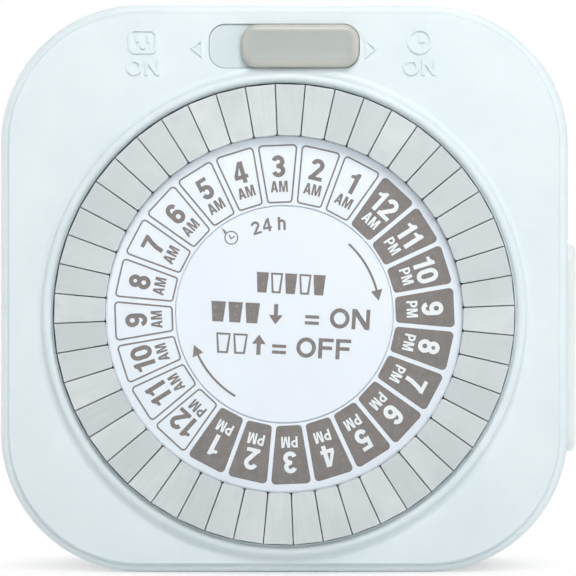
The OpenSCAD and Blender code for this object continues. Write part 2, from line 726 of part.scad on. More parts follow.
module dial_wheel() {
    tip_r = ring_module * (ring_teeth / 2 - 0.75);
    color(nylon) on_dial() difference() {
        rotate_extrude() polygon([
            [post_r + running, hub_h], [post_r + hub_wall, hub_h], [post_r + hub_wall, web_h],
            [drum_r - drum_wall, web_h], [drum_r - drum_wall, gear_h + gear_t], [tip_r, gear_h + gear_t],
            [tip_r, gear_h], [drum_r, gear_h], [drum_r, flange_h], [pin_outer_r, flange_h],
            [pin_outer_r, flange_top], [drum_r, flange_top], [drum_r, ring_h], [post_r + running, ring_h]]);
        rotate(drive_angle) gear(ring_teeth, ring_module, 1.25, 1, -backlash, gear_h - 1, gear_h + gear_t + 1);
        for (i = [0:pin_count - 1]) rotate(hour_direction(3) + pin_pitch * (i + 0.5)) pin_slot();
    }
}

module hour_ring() {
    color(label_white) on_dial() tube(ring_r, disc_r + 0.15, ring_h, ring_h + label_t);
}

module centre_disc() {
    color(label_white) on_dial() disc(disc_r, disc_h, disc_h + label_t - 0.1);
}

// One pin, with its radius along x: a wedge head, a flat stem and a hook at its foot
module pin() {
    inner_half = pin_inner_r * tan(pin_pitch / 2) - pin_slit / 2;
    outer_half = pin_outer_r * tan(pin_pitch / 2) - pin_slit / 2;
    side = [[pin_inner_r, inner_half - pin_notch], [pin_inner_r + pin_notch, inner_half],
            [pin_outer_r, outer_half]];
    translate([0, 0, head_h]) linear_extrude(pin_head_t)
        polygon(concat(side, [for (i = [2:-1:0]) [side[i][0], -side[i][1]]]));
    span([pin_inner_r + stem_in, -stem_t / 2, foot_h], [pin_inner_r + stem_out, stem_t / 2, head_h]);
    span([pin_inner_r + stem_in - hook_reach, -stem_t / 2, foot_h],
         [pin_inner_r + stem_in, stem_t / 2, foot_h + hook_t]);
}

module pin_pair(n) {
    color(pin_grey) on_dial() for (s = [-0.5, 0.5]) rotate(hour_direction(n) + s * pin_pitch) pin();
}

// ---- Override slide ----

module override_slide() {
    bottom = recess_h + clearance;
    top = case_depth + slide_proud;
    color(slide_taupe) in_case() translate([slide_x, slide_y, 0]) {
        difference() {
            rounded_slab(slide_l, slide_w, slide_corner_r, concat([[0, bottom]], round_over(slide_edge_r, top)));
            rounded_slab(slide_l - 2 * slide_rim, slide_w - 2 * slide_rim, slide_corner_r - slide_rim,
                         [[slide_dish, top - slide_dish], [0, top], [0, top + 1]]);
        }
        span([-slide_stem_l / 2, -slide_stem_w / 2, carrier_h], [slide_stem_l / 2, slide_stem_w / 2, bottom + 0.5]);
        span([-carrier_l / 2, -slide_stem_w / 2, carrier_h], [carrier_l / 2, slide_stem_w / 2, carrier_h + carrier_t]);
    }
}

module slide_bridge() {
    color(brass) in_case() translate([slide_x, slide_y, 0]) {
        span([-clip_l / 2, -pad_w / 2, clip_h], [clip_l / 2, pad_w / 2, clip_h + clip_t]);
        for (s = [-1, 1]) translate([s * (clip_l - clip_t) / 2, 0, 0])
            span([-clip_t / 2, -pad_w / 2, clip_h], [clip_t / 2, pad_w / 2, carrier_h]);
    }
}

// Strip that stands on a strap at from_y, crosses to the case's top wall and ends in a pad under the clip
module bypass_contact(x, w, from_y, level) {
    foot = strap_h + strap_t;
    path = [[from_y, foot], [from_y, level], [leg_y, level], [leg_y, bypass_h + bypass_t],
            [leg_y - pad_w - bypass_t, bypass_h + bypass_t], [leg_y - pad_w - bypass_t, bypass_h],
            [leg_y - bypass_t, bypass_h], [leg_y - bypass_t, level + bypass_t],
            [from_y - bypass_t, level + bypass_t], [from_y - bypass_t, foot]];
    translate([x, bypass_t, 0]) rotate([90, 0, 90]) linear_extrude(w) polygon(path);
}

module bypass_line_contact() {
    color(brass) in_case() bypass_contact(bypass_line_x, strap_w, fixed_y + 0.3, strap_h + 4);
}

module bypass_load_contact() {
    color(brass) in_case()
        bypass_contact(bypass_load_x, bypass_load_w, load_run_y + strap_w / 2 + 0.3, strap_h + 2);
}

// ---- Switch lever ----

module follower_lever() {
    color(pin_grey) in_case() translate([lever_x, 0, 0]) difference() {
        union() {
            span([-lever_w / 2, nub_at[1] - 2.2, lever_h], [lever_w / 2, axle_y, lever_h + lever_t]);
            translate([-lever_w / 2, axle_y, axle_h]) rotate([0, 90, 0]) cylinder(r = lever_hub_r, h = lever_w);
            translate([0, nub_at[1], 0]) {
                disc(nub_tip_r, lever_h + 1, nub_top - nub_tip_r);
                translate([0, 0, nub_top - nub_tip_r]) sphere(nub_tip_r);
            }
            span([-contact_pitch / 2 - 1.4, contact_y - 1.1, lever_h - yoke_t],
                 [contact_pitch / 2 + 1.4, contact_y + 1.1, lever_h + 0.6]);
        }
        translate([-lever_w, axle_y, axle_h]) rotate([0, 90, 0]) cylinder(r = axle_r + running, h = 2 * lever_w);
    }
}

module bridge_contact() {
    color(silver) in_case() translate([lever_x, contact_y, 0]) {
        span([-contact_pitch / 2 - 1.2, -0.9, lever_h - yoke_t - bar_t],
             [contact_pitch / 2 + 1.2, 0.9, lever_h - yoke_t]);
        for (s = [-1, 1]) translate([s * contact_pitch / 2, 0, 0])
            disc(rivet_r, rivet_h, lever_h - yoke_t - bar_t);
    }
}

module fixed_contacts() {
    color(silver) in_case() for (s = [-1, 1]) translate([lever_x + s * contact_pitch / 2, fixed_y, 0])
        disc(rivet_r, strap_h + strap_t, fixed_top);
}

module lever_axle() {
    color(steel) in_case() translate([lever_x - axle_l / 2, axle_y, axle_h]) rotate([0, 90, 0])
        cylinder(r = axle_r, h = axle_l);
}

// Compression spring as one tube that climbs from the seat to the lever
module lever_spring() {
    sides = 6;
    per_turn = 16;
    rings = spring_turns * per_turn;
    low = spring_seat + wire_r + 0.02;
    rise = lever_h - wire_r - 0.02 - low;
    points = [for (i = [0:rings], s = [0:sides - 1])
        let (a = 360 * i / per_turn, r = spring_r + wire_r * cos(360 * s / sides))
        concat(polar(r, a), [low + rise * i / rings + wire_r * sin(360 * s / sides)])];
    skin = [for (i = [0:rings - 1], s = [0:sides - 1])
        let (a = i * sides + s, b = i * sides + (s + 1) % sides)
        each [[a, a + sides, b + sides], [a, b + sides, b]]];
    caps = [[for (s = [0:sides - 1]) s], [for (s = [sides - 1:-1:0]) rings * sides + s]];
    color(steel) in_case() translate([lever_x, spring_y, 0]) polyhedron(points, concat(skin, caps));
}

// ---- Gear train ----

module drive_pinion() {
    color(nylon) in_case() translate(drive_at) {
        rotate(drive_angle)
            gear(pinion_teeth, ring_module, 0.8, 1.1, backlash, gear_h + 0.3, gear_h + gear_t - 0.3);
        disc(shaft_r, bridge_h + 0.2, gear_h + gear_t - 0.3);
        disc(2.4, plate_top + 0.3, gear_h + 0.3);
        disc(2.6, clutch_h + wheel_t, plate_h - 0.3);
        disc(1.8, clutch_h - 1.6, clutch_h - 0.9);
    }
}

module clutch_wheel() {
    color(label_white) in_case() translate(drive_at) difference() {
        rotate(idler_angle) gear(clutch_teeth, train_module, 0.9, 1.1, backlash, clutch_h, clutch_h + wheel_t - 0.1);
        disc(shaft_r + running, clutch_h - 1, clutch_h + wheel_t + 1);
        for (a = [30:60:330]) rotate(a) translate([6.4, 0, 0]) disc(1.8, clutch_h - 1, clutch_h + wheel_t + 1);
    }
}

// Dished washer that presses the clutch wheel against the pinion's shoulder
module clutch_spring() {
    low = clutch_h - 0.9;
    color(steel) in_case() translate(drive_at) rotate_extrude() polygon([
        [shaft_r + 0.1, low], [shaft_r + 0.8, low], [3.4, clutch_h - 0.35], [3.4, clutch_h - 0.05],
        [shaft_r + 0.8, low + 0.3], [shaft_r + 0.1, low + 0.3]]);
}

module idler_gear() {
    pinion_h = clutch_h - 0.5;
    color(label_white) in_case() translate(idler_at) difference() {
        union() {
            rotate(output_angle) gear(idler_wheel_teeth, train_module, 0.9, 1.1, backlash,
                                      idler_wheel_h, idler_wheel_h + wheel_t);
            rotate(idler_angle + 180 + 180 / idler_pinion_teeth)
                gear(idler_pinion_teeth, train_module, 0.8, 1.05, backlash, pinion_h, plate_h - 1);
            disc(2.6, idler_wheel_h, pinion_h + 0.1);
        }
        disc(axle_r + running, idler_wheel_h - 1, plate_h);
        for (a = [0:60:300]) rotate(a) translate([5.2, 0, 0]) disc(1.5, idler_wheel_h - 1, idler_wheel_h + wheel_t + 1);
    }
}

module idler_axle() {
    color(steel) in_case() translate(idler_at) disc(axle_r, bridge_h + 0.2, plate_top - 0.2);
}

module gear_bridge() {
    color(nylon) in_case() {
        difference() {
            translate([0, 0, bridge_h]) linear_extrude(bridge_t) hull() {
                for (p = pillars) translate(p) circle(pillar_r, $fn = 32);
                translate(output_at) circle(3, $fn = 32);
            }
            translate(drive_at) disc(shaft_r + running, bridge_h - 1, bridge_h + bridge_t + 1);
            translate(idler_at) disc(axle_r + 0.02, bridge_h - 1, bridge_h + bridge_t + 1);
            translate(output_at) disc(shaft_r + running, bridge_h - 1, bridge_h + bridge_t + 1);
        }
        for (p = pillars) translate(p) disc(pillar_r - 0.2, bridge_h + bridge_t / 2, plate_h);
    }
}

// ---- Motor ----

module motor_can() {
    color(steel) in_case() translate(motor_at) difference() {
        disc(motor_r, can_h, can_h + motor_h);
        disc(motor_r - can_t, can_h + can_t, can_h + motor_h + 1);
        disc(axle_r + running, can_h - 1, can_h + can_t + 1);
    }
}

module motor_cover() {
    color(steel) in_case() difference() {
        translate(motor_at) disc(motor_r, can_h + motor_h, bridge_h);
        translate(output_at) disc(shaft_r + running, bridge_h - 2, bridge_h + 1);
        translate(motor_at) disc(axle_r + running, bridge_h - 2, bridge_h + 1);
    }
}

module motor_coil() {
    low = can_h + can_t;
    coil_r = motor_r - can_t - 0.2;
    color(copper) in_case() translate(motor_at) rotate_extrude() polygon([
        [rotor_r + 1, low], [coil_r, low], [coil_r, low + 0.8], [coil_r - 0.6, low + 0.8],
        [coil_r - 0.6, low + coil_h - 0.8], [coil_r, low + coil_h - 0.8], [coil_r, low + coil_h],
        [rotor_r + 1, low + coil_h]]);
}

module motor_rotor() {
    color(ferrite) in_case() translate(motor_at) {
        disc(rotor_r, can_h + can_t + 0.6, can_h + can_t + coil_h - 0.4);
        disc(axle_r, can_h + 0.1, bridge_h - 0.1);
    }
}

module motor_output() {
    color(brass) in_case() translate(output_at) {
        rotate(output_angle + 180 + 180 / output_teeth)
            gear(output_teeth, train_module, 0.75, 1.05, backlash, output_h, output_h + wheel_t + 0.6);
        disc(shaft_r, can_h + can_t + coil_h + 0.2, output_h + 0.1);
        disc(motor_r - can_t - norm(output_at - motor_at) - 0.7, can_h + can_t + coil_h + 0.2,
             can_h + can_t + coil_h + 1.2);
    }
}

front_cover();
rear_case();
outlet_block();
movement_plate();
dial_wheel();
hour_ring();
centre_disc();
override_slide();
slide_bridge();
bypass_line_contact();
bypass_load_contact();
follower_lever();
bridge_contact();
fixed_contacts();
lever_axle();
lever_spring();
motor_can();
motor_cover();
motor_coil();
motor_rotor();
motor_output();
idler_gear();
idler_axle();
clutch_wheel();
clutch_spring();
drive_pinion();
gear_bridge();
line_blade();
neutral_blade();
earth_pin();
line_strap();
load_strap();
neutral_strap();
outlet_line_contact();
outlet_neutral_contact();
outlet_earth_contact();
for (n = HOURS) pin_pair(n);
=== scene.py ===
"""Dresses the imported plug-in timer switch: its print, raised marks, screws, finishes, light and camera."""

import logging
import math
from dataclasses import dataclass, field
from enum import Enum
from typing import Iterable, Union

import bmesh
import bpy
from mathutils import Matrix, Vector
from mathutils.geometry import delaunay_2d_cdt, tessellate_polygon


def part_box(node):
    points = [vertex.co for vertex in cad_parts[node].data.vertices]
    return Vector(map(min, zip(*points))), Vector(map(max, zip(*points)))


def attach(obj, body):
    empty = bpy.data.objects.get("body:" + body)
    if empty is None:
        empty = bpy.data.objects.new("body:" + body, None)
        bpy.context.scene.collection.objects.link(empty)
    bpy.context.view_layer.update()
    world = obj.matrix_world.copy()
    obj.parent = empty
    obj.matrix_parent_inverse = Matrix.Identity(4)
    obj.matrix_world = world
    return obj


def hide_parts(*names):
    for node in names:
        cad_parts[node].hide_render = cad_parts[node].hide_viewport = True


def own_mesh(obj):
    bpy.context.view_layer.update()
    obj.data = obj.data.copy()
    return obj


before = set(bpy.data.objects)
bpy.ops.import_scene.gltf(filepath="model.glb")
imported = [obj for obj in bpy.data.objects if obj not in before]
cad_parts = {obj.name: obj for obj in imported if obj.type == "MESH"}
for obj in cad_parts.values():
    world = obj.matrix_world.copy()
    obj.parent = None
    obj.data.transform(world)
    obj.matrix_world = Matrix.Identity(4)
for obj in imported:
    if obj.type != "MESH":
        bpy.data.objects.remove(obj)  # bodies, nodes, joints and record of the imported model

Point = tuple[float, float]
Outline = list[Point]
Region = tuple[Outline, list[Outline]]  # an outer edge and its holes
Sheet = tuple[Outline, list[tuple[int, ...]]]  # points and triangles
Ring = list[bmesh.types.BMVert]
Work = bmesh.types.BMesh  # a mesh in the making
Tree = bpy.types.NodeTree
Socket = bpy.types.NodeSocket
Value = Union[float, tuple, Socket]

MM = 0.001
CASE_Z = -4.0  # mm from the blades' row down to the centre of the case
DIAL_DROP = 3.2  # mm from the centre of the case down to the dial's axis
DIAL_AXIS = (0.0, -DIAL_DROP)
CASE_DEPTH = 38.0  # mm from the wall face to the front plateau

log = logging.getLogger("timer")


# ---- Places ----


def face_point(x: float, y: float, h: float) -> Vector:
    """Turns millimetres right and up from the case's centre, and out from the wall face, into the model's metres."""
    return Vector((x, -h, y + CASE_Z)) * MM


def turned(outline: Iterable[Point], degrees: float, about: Point = (0.0, 0.0)) -> Outline:
    """Turns an outline anticlockwise about a point."""
    c, s = math.cos(math.radians(degrees)), math.sin(math.radians(degrees))
    return [(about[0] + (x - about[0]) * c - (y - about[1]) * s,
             about[1] + (x - about[0]) * s + (y - about[1]) * c) for x, y in outline]


def shifted(outline: Iterable[Point], by: Point) -> Outline:
    """Moves an outline right and up."""
    return [(x + by[0], y + by[1]) for x, y in outline]


def circle(radius: float, centre: Point = (0.0, 0.0), points: int = 48) -> Outline:
    """Makes a round outline, anticlockwise."""
    return [(centre[0] + radius * math.cos(2 * math.pi * i / points),
             centre[1] + radius * math.sin(2 * math.pi * i / points)) for i in range(points)]


def rounded_box(width: float, height: float, radius: float, centre: Point = (0.0, 0.0)) -> Outline:
    """Makes a rectangle with rounded corners.

    Args:
        width: Its width in millimetres.
        height: Its height in millimetres.
        radius: Radius of its corners.
        centre: Its centre.

    Returns:
        The outline, anticlockwise.
    """
    out: Outline = []
    for k, (sx, sy) in enumerate(((1, 1), (-1, 1), (-1, -1), (1, -1))):
        cx, cy = centre[0] + sx * (width / 2 - radius), centre[1] + sy * (height / 2 - radius)
        for i in range(7):
            a = math.radians(90 * k + 15 * i)
            out.append((cx + radius * math.cos(a), cy + radius * math.sin(a)))
    return out


# ---- Finishes ----


def linear(hex_colour: str) -> tuple[float, float, float, float]:
    """Turns an sRGB hex colour, such as "#e6eff1", into the linear colour that a shader takes."""
    parts = [int(hex_colour[i:i + 2], 16) / 255 for i in (1, 3, 5)]
    return (*(c / 12.92 if c <= 0.04045 else ((c + 0.055) / 1.055) ** 2.4 for c in parts), 1.0)


def add_node(tree: Tree, kind: str, inputs: dict[Union[str, int], Value] | None = None,
             output: Union[str, int] = 0, **settings: object) -> Socket | None:
    """Adds one shader node with its settings, values and links.

    Args:
        tree: The node tree that it goes into.
        kind: Its type, without the leading ShaderNode.
        inputs: For a socket's name or number, a plain value or the output that feeds it.
        output: Name or number of the output that is wanted.
        settings: The node's own options.

    Returns:
        That output, or None where the node has no outputs.
    """
    node = tree.nodes.new("ShaderNode" + kind)
    for name, value in settings.items():
        setattr(node, name, value)
    for key, value in (inputs or {}).items():
        if isinstance(value, Socket):
            tree.links.new(value, node.inputs[key])
        else:
            node.inputs[key].default_value = value
    return node.outputs[output] if node.outputs else None


@dataclass(frozen=True)
class Finish:
    """What a surface is made of and how it was made. Each kind of finish draws its own nodes."""

    name: str
    colour: str
    shade: str
    roughness: float

    def material(self) -> bpy.types.Material:
        """Makes the material the first time, and hands back the same one after that.

        Returns:
            The material.
        """
        known = bpy.data.materials.get(self.name)
        if known:
            return known
        made = bpy.data.materials.new(self.name)
        made.use_nodes = True
        made.diffuse_color = linear(self.colour)
        tree = made.node_tree
        tree.nodes.clear()
        place = add_node(tree, "TexCoord", output="Object")
        add_node(tree, "OutputMaterial", {"Surface": self.surface(tree, place)})
        return made

    def surface(self, tree: Tree, place: Socket) -> Socket:
        """Draws the finish.

        Args:
            tree: The material's nodes.
            place: Where on the piece a point is, in metres.

        Returns:
            The shader's output.
        """
        raise NotImplementedError

    def patches(self, tree: Tree, place: Socket, size_mm: float, spread: float = 0.2,
                **noise: float) -> tuple[Socket, Socket]:
        """Draws the finish's two colours in soft patches.

        Args:
            tree: The material's nodes.
            place: Where on the piece a point is, in metres.
            size_mm: Size of a patch.
            spread: How far from its middle the noise has run into one plain colour.
            noise: The noise's other inputs.

        Returns:
            The colour, and the noise under it.
        """
        soft = add_node(tree, "TexNoise", {"Vector": place, "Scale": 1 / (size_mm * MM), **noise})
        level = add_node(tree, "MapRange", {"Value": soft, "From Min": 0.5 - spread, "From Max": 0.5 + spread})
        return add_node(tree, "Mix", {0: level, 6: linear(self.shade), 7: linear(self.colour)}, 2,
                        data_type="RGBA"), soft


@dataclass(frozen=True)
class MouldedPlastic(Finish):
    """Injection-moulded plastic: faint clouding where the melt flowed, and the fine texture of the mould."""

    ior: float = 1.53
    cloud_mm: float = 9.0
    sheen_mm: float = 3.5
    sheen_spread: float = 0.07
    grain_mm: float = 0.22
    grain_depth_mm: float = 0.004
    speck_colour: str = "#8f938f"
    speck_share: float = 0.06
    speck_cell_mm: float = 2.6

    def tint(self, tree: Tree, place: Socket) -> Socket:
        """Draws the plastic's colour.

        Args:
            tree: The material's nodes.
            place: Where on the piece a point is, in metres.

        Returns:
            The colour.
        """
        plain, _ = self.patches(tree, place, self.cloud_mm, Detail=4.0, Roughness=0.6)
        # Dust and wear marks of about 0.15 mm, one to a few square centimetres
        cells = add_node(tree, "TexVoronoi", {"Vector": place, "Scale": 1 / (self.speck_cell_mm * MM)}).node.outputs
        chosen = add_node(tree, "Math", {0: cells["Color"], 1: self.speck_share}, operation="LESS_THAN")
        small = add_node(tree, "MapRange", {"Value": cells["Distance"], "From Min": 0.02, "From Max": 0.045,
                                            "To Min": 0.55, "To Max": 0.0})
        speck = add_node(tree, "Math", {0: chosen, 1: small}, operation="MULTIPLY")
        return add_node(tree, "Mix", {0: speck, 6: plain, 7: linear(self.speck_colour)}, 2, data_type="RGBA")

    def surface(self, tree: Tree, place: Socket) -> Socket:
        """Draws tint, gloss and mould texture. See Finish.surface for the arguments and what it returns."""
        sheen = add_node(tree, "TexNoise", {"Vector": place, "Scale": 1 / (self.sheen_mm * MM), "Detail": 5.0})
        gloss = add_node(tree, "MapRange", {"Value": sheen, "To Min": self.roughness - self.sheen_spread,
                                            "To Max": self.roughness + self.sheen_spread})
        grain = add_node(tree, "TexNoise", {"Vector": place, "Scale": 1 / (self.grain_mm * MM), "Detail": 2.0})
        bump = add_node(tree, "Bump", {"Height": grain, "Distance": self.grain_depth_mm * MM, "Strength": 1.0})
        return add_node(tree, "BsdfPrincipled", {"Base Color": self.tint(tree, place), "Roughness": gloss,
                                                 "IOR": self.ior, "Normal": bump})


@dataclass(frozen=True)
class MouldedPin(MouldedPlastic):
    """Acetal pin: each one a slightly different grey, with faint drag marks along the radius from its mould."""

    pitch_deg: float = 7.5
    first_share: float = 0.3
    middle_r_mm: float = 25.0
    streak_mm: float = 0.3
    streak_l_mm: float = 6.0

    def tint(self, tree: Tree, place: Socket) -> Socket:
        """Draws the pins' greys and drag marks. See MouldedPlastic.tint for the arguments and what it returns."""
        plain = super().tint(tree, place)
        parts = add_node(tree, "SeparateXYZ", {"Vector": place}).node.outputs
        up = add_node(tree, "Math", {0: parts["Z"], 1: (DIAL_DROP - CASE_Z) * MM}, operation="ADD")
        angle = add_node(tree, "Math", {0: parts["X"], 1: up}, operation="ARCTAN2")
        steps = add_node(tree, "Math", {0: angle, 1: 180 / math.pi / self.pitch_deg}, operation="MULTIPLY")
        count = add_node(tree, "Math", {0: steps, 1: self.first_share}, operation="ADD")
        number = add_node(tree, "Math", {0: count}, operation="FLOOR")
        lot = add_node(tree, "TexWhiteNoise", {"W": number}, noise_dimensions="1D")
        # The marks lie along the radius, so the noise runs fast round the dial and slowly outwards
        across = add_node(tree, "Math", {0: angle, 1: self.middle_r_mm / self.streak_mm}, operation="MULTIPLY")
        flat = add_node(tree, "CombineXYZ", {"X": parts["X"], "Z": up})
        radius = add_node(tree, "VectorMath", {0: flat}, "Value", operation="LENGTH")
        along = add_node(tree, "Math", {0: radius, 1: 1 / (self.streak_l_mm * MM)}, operation="MULTIPLY")
        way = add_node(tree, "CombineXYZ", {"X": across, "Y": along})
        streak = add_node(tree, "TexNoise", {"Vector": way, "Scale": 1.0, "Detail": 3.0})
        mixed = add_node(tree, "Math", {0: streak, 1: lot}, operation="ADD")
        level = add_node(tree, "MapRange", {"Value": mixed, "From Min": 0.5, "From Max": 1.5})
        return add_node(tree, "Mix", {0: level, 6: plain, 7: linear(self.shade)}, 2, data_type="RGBA")


@dataclass(frozen=True)
class ButtonWearAndReflection(MouldedPlastic):
    """Slide button: a greenish grey over its dish, which is a painted reflection, and a warmer, rubbed edge where
    fingers push it.
    """

    rim_colour: str = "#ccc8be"
    centre_mm: Point = (1.95, 25.86)
    half_mm: Point = (7.25, 2.65)
    rim_mm: float = 0.95
    rub_mm: float = 1.2

    def tint(self, tree: Tree, place: Socket) -> Socket:
        """Draws the painted reflection in the dish and the rubbed edge. See MouldedPlastic.tint for the arguments and
        what it returns.
        """
        plain = super().tint(tree, place)
        parts = add_node(tree, "SeparateXYZ", {"Vector": place}).node.outputs
        depths = []
        for axis, middle, half in zip("XZ", self.centre_mm, self.half_mm):
            off = add_node(tree, "Math", {0: parts[axis], 1: middle * MM}, operation="SUBTRACT")
            size = add_node(tree, "Math", {0: off}, operation="ABSOLUTE")
            depths.append(add_node(tree, "Math", {0: half * MM, 1: size}, operation="SUBTRACT"))
        depth = add_node(tree, "Math", {0: depths[0], 1: depths[1], 2: 0.6 * MM}, operation="SMOOTH_MIN")
        rub = add_node(tree, "TexNoise", {"Vector": place, "Scale": 1 / (self.rub_mm * MM), "Detail": 3.0})
        edge = add_node(tree, "MapRange", {"Value": depth, "From Min": 0.05 * MM, "From Max": self.rim_mm * MM,
                                           "To Min": 1.0, "To Max": 0.0})
        share = add_node(tree, "Math", {0: edge, 1: rub, 2: 0.25}, operation="MULTIPLY_ADD")
        limited = add_node(tree, "Math", {0: share, 1: edge}, operation="MINIMUM")
        # The plain greenish grey is a painted reflection over the dish; the warm rim is the plastic's own colour where
        # fingers rub it
        return add_node(tree, "Mix", {0: limited, 6: plain, 7: linear(self.rim_colour)}, 2, data_type="RGBA")


@dataclass(frozen=True)
class PrintedInk(Finish):
    """Pad-printed ink: even, a little uneven at its edge, with a few pinholes where the pad lifted dust."""

    base: str = "#f0f6fa"
    patch_mm: float = 0.9
    grain_mm: float = 0.16

    def surface(self, tree: Tree, place: Socket) -> Socket:
        """Draws the ink. See Finish.surface for the arguments and what it returns."""
        ink, _ = self.patches(tree, place, self.patch_mm, Detail=5.0)
        dust = add_node(tree, "TexNoise", {"Vector": place, "Scale": 1 / (self.grain_mm * MM), "Detail": 1.0})
        hole = add_node(tree, "MapRange", {"Value": dust, "From Min": 0.68, "From Max": 0.76, "To Max": 0.45})
        colour = add_node(tree, "Mix", {0: hole, 6: ink, 7: linear(self.base)}, 2, data_type="RGBA")
        return add_node(tree, "BsdfPrincipled", {"Base Color": colour, "Roughness": self.roughness, "IOR": 1.5})


@dataclass(frozen=True)
class Metal(Finish):
    """Stamped, turned or plated metal, with the fine drawn lines of its strip and a duller film in patches."""

    line_mm: float = 0.12
    line_depth_mm: float = 0.002
    film_mm: float = 4.0
    along: tuple[float, float, float] = (1.0, 0.08, 1.0)

    def surface(self, tree: Tree, place: Socket) -> Socket:
        """Draws the metal. See Finish.surface for the arguments and what it returns."""
        drawn = add_node(tree, "VectorMath", {0: place, 1: self.along}, operation="MULTIPLY")
        lines = add_node(tree, "TexNoise", {"Vector": drawn, "Scale": 1 / (self.line_mm * MM), "Detail": 2.0})
        colour, film = self.patches(tree, place, self.film_mm, 0.15, Detail=4.0)
        both = add_node(tree, "Math", {0: lines, 1: film}, operation="ADD")
        gloss = add_node(tree, "MapRange", {"Value": both, "From Min": 0.6, "From Max": 1.4,
                                            "To Min": self.roughness - 0.06, "To Max": self.roughness + 0.1})
        bump = add_node(tree, "Bump", {"Height": lines, "Distance": self.line_depth_mm * MM, "Strength": 0.6})
        return add_node(tree, "BsdfPrincipled", {"Base Color": colour, "Metallic": 1.0, "Roughness": gloss,
                                                 "Normal": bump})


@dataclass(frozen=True)
class WoundWire(Finish):
    """Enamelled copper wire wound in layers: round turns side by side under a clear film, painted darker in the
    grooves between turns as shade.
    """

    wire_mm: float = 0.3

    def surface(self, tree: Tree, place: Socket) -> Socket:
        """Draws the winding. See Finish.surface for the arguments and what it returns."""
        turns = add_node(tree, "TexWave", {"Vector": place, "Scale": 1 / (self.wire_mm * MM) * math.pi / 10,
                                           "Distortion": 0.4}, "Fac", bands_direction="Y")
        # Painted shade: the colour runs darker in the grooves between turns, on the same wave as the bump
        colour = add_node(tree, "Mix", {0: turns, 6: linear(self.shade), 7: linear(self.colour)}, 2,
                          data_type="RGBA")
        bump = add_node(tree, "Bump", {"Height": turns, "Distance": 0.1 * MM})
        return add_node(tree, "BsdfPrincipled", {"Base Color": colour, "Metallic": 0.8, "Roughness": self.roughness,
                                                 "Coat Weight": 0.5, "Normal": bump})


@dataclass(frozen=True)
class StudioPaper(Finish):
    """Matt white paper under the object. It keeps the shadow near the object and fades to plain white."""

    near_m: float = 0.005
    far_m: float = 0.042

    def surface(self, tree: Tree, place: Socket) -> Socket:
        """Draws the paper. See Finish.surface for the arguments and what it returns."""
        fibre = add_node(tree, "TexNoise", {"Vector": place, "Scale": 1 / (1.5 * MM), "Detail": 5.0})
        colour = add_node(tree, "Mix", {0: fibre, 6: linear(self.shade), 7: linear(self.colour)}, 2,
                          data_type="RGBA")
        paper = add_node(tree, "BsdfPrincipled", {"Base Color": colour, "Roughness": self.roughness})
        away = add_node(tree, "VectorMath", {0: place}, "Value", operation="LENGTH")
        fade = add_node(tree, "MapRange", {"Value": away, "From Min": self.near_m, "From Max": self.far_m},
                        interpolation_type="SMOOTHSTEP")
        share = add_node(tree, "Math", {0: fade, 1: seen_directly(tree)}, operation="MULTIPLY")
        white = add_node(tree, "Emission", {"Color": (1.0, 1.0, 1.0, 1.0), "Strength": 1.0})
        return add_node(tree, "MixShader", {0: share, 1: paper, 2: white})


def seen_directly(tree: Tree) -> Socket:
    """Tells rays that look at the background from rays that light the object.

    Args:
        tree: The nodes of the floor or the world.

    Returns:
        1 for a camera, mirror or see-through ray, and 0 for the rest.
    """
    rays = add_node(tree, "LightPath").node.outputs
    first = add_node(tree, "Math", {0: rays["Is Camera Ray"], 1: rays["Is Glossy Ray"]}, operation="MAXIMUM")
    return add_node(tree, "Math", {0: first, 1: rays["Is Transmission Ray"]}, operation="MAXIMUM")


# Moulded ABS: bluish white and slightly satin, so its edges catch a soft light
CASE_ABS = MouldedPlastic("moulded_abs_cool_white", "#e7f1f4", "#e0ebee", 0.40)
# The same ABS on the floor of the slide's recess, a little smoother, and painted a little greyer as shade in the
# recess
RECESS_SHADE_ABS = MouldedPlastic("moulded_abs_white_painted_recess_shade", "#dae5e8", "#d3dfe2", 0.36)
# Moulded polycarbonate: a creamier white beside the case, painted paler than the case as light on the outlet's shaded
# side
OUTLET_PC = MouldedPlastic("moulded_polycarbonate_cream", "#f5faf7", "#f0f6f3", 0.36, ior=1.58)
# Moulded acetal: waxy light grey
PIN_ACETAL = MouldedPin("moulded_acetal_light_grey", "#dfe4e4", "#c8d0d1", 0.42, ior=1.48, speck_share=0.03)
# Moulded ABS in warm grey, worn smooth by fingers; its greenish grey is a painted reflection, with the warm grey left
# at the rubbed edge
SLIDE_ABS = ButtonWearAndReflection("moulded_abs_warm_grey", "#b4b9b4", "#afb4b0", 0.34, grain_depth_mm=0.002)
# Printed polystyrene label sheet: the whitest surface, almost without texture
LABEL_SHEET = MouldedPlastic("printed_polystyrene_white", "#f0f7fe", "#ecf3fb", 0.45, ior=1.59, grain_mm=0.3,
                             grain_depth_mm=0.001, speck_share=0.02)
# Pad-printed ink: flat warm grey
TAUPE_INK = PrintedInk("pad_printed_taupe_ink", "#7b7673", "#85807d", 0.5)
# The white left between filled cells of the print
BARE_PRINT = PrintedInk("pad_printed_white_ink", "#f3f7f9", "#edf2f5", 0.5)
# Natural moulded nylon: milky, for the wheels and plates inside
NYLON = MouldedPlastic("moulded_nylon_natural", "#e8e6dc", "#dedbcf", 0.45, ior=1.53)
# Stamped brass strip: bright and warm, with the rolling lines of the strip
BRASS = Metal("stamped_brass", "#c9a44f", "#b8923f", 0.28)
# Nickel plate on brass: pale and slightly warm, polished by use
NICKEL = Metal("nickel_plated_brass", "#cfcdc5", "#bdbbb2", 0.22)
# Silver-faced contact rivets: soft white metal
SILVER = Metal("silver_plated_copper", "#dcdcda", "#c9cac7", 0.25)
# Zinc-plated steel: cool and a little dull
ZINC_STEEL = Metal("zinc_plated_steel", "#b4b8bb", "#a2a7aa", 0.34)
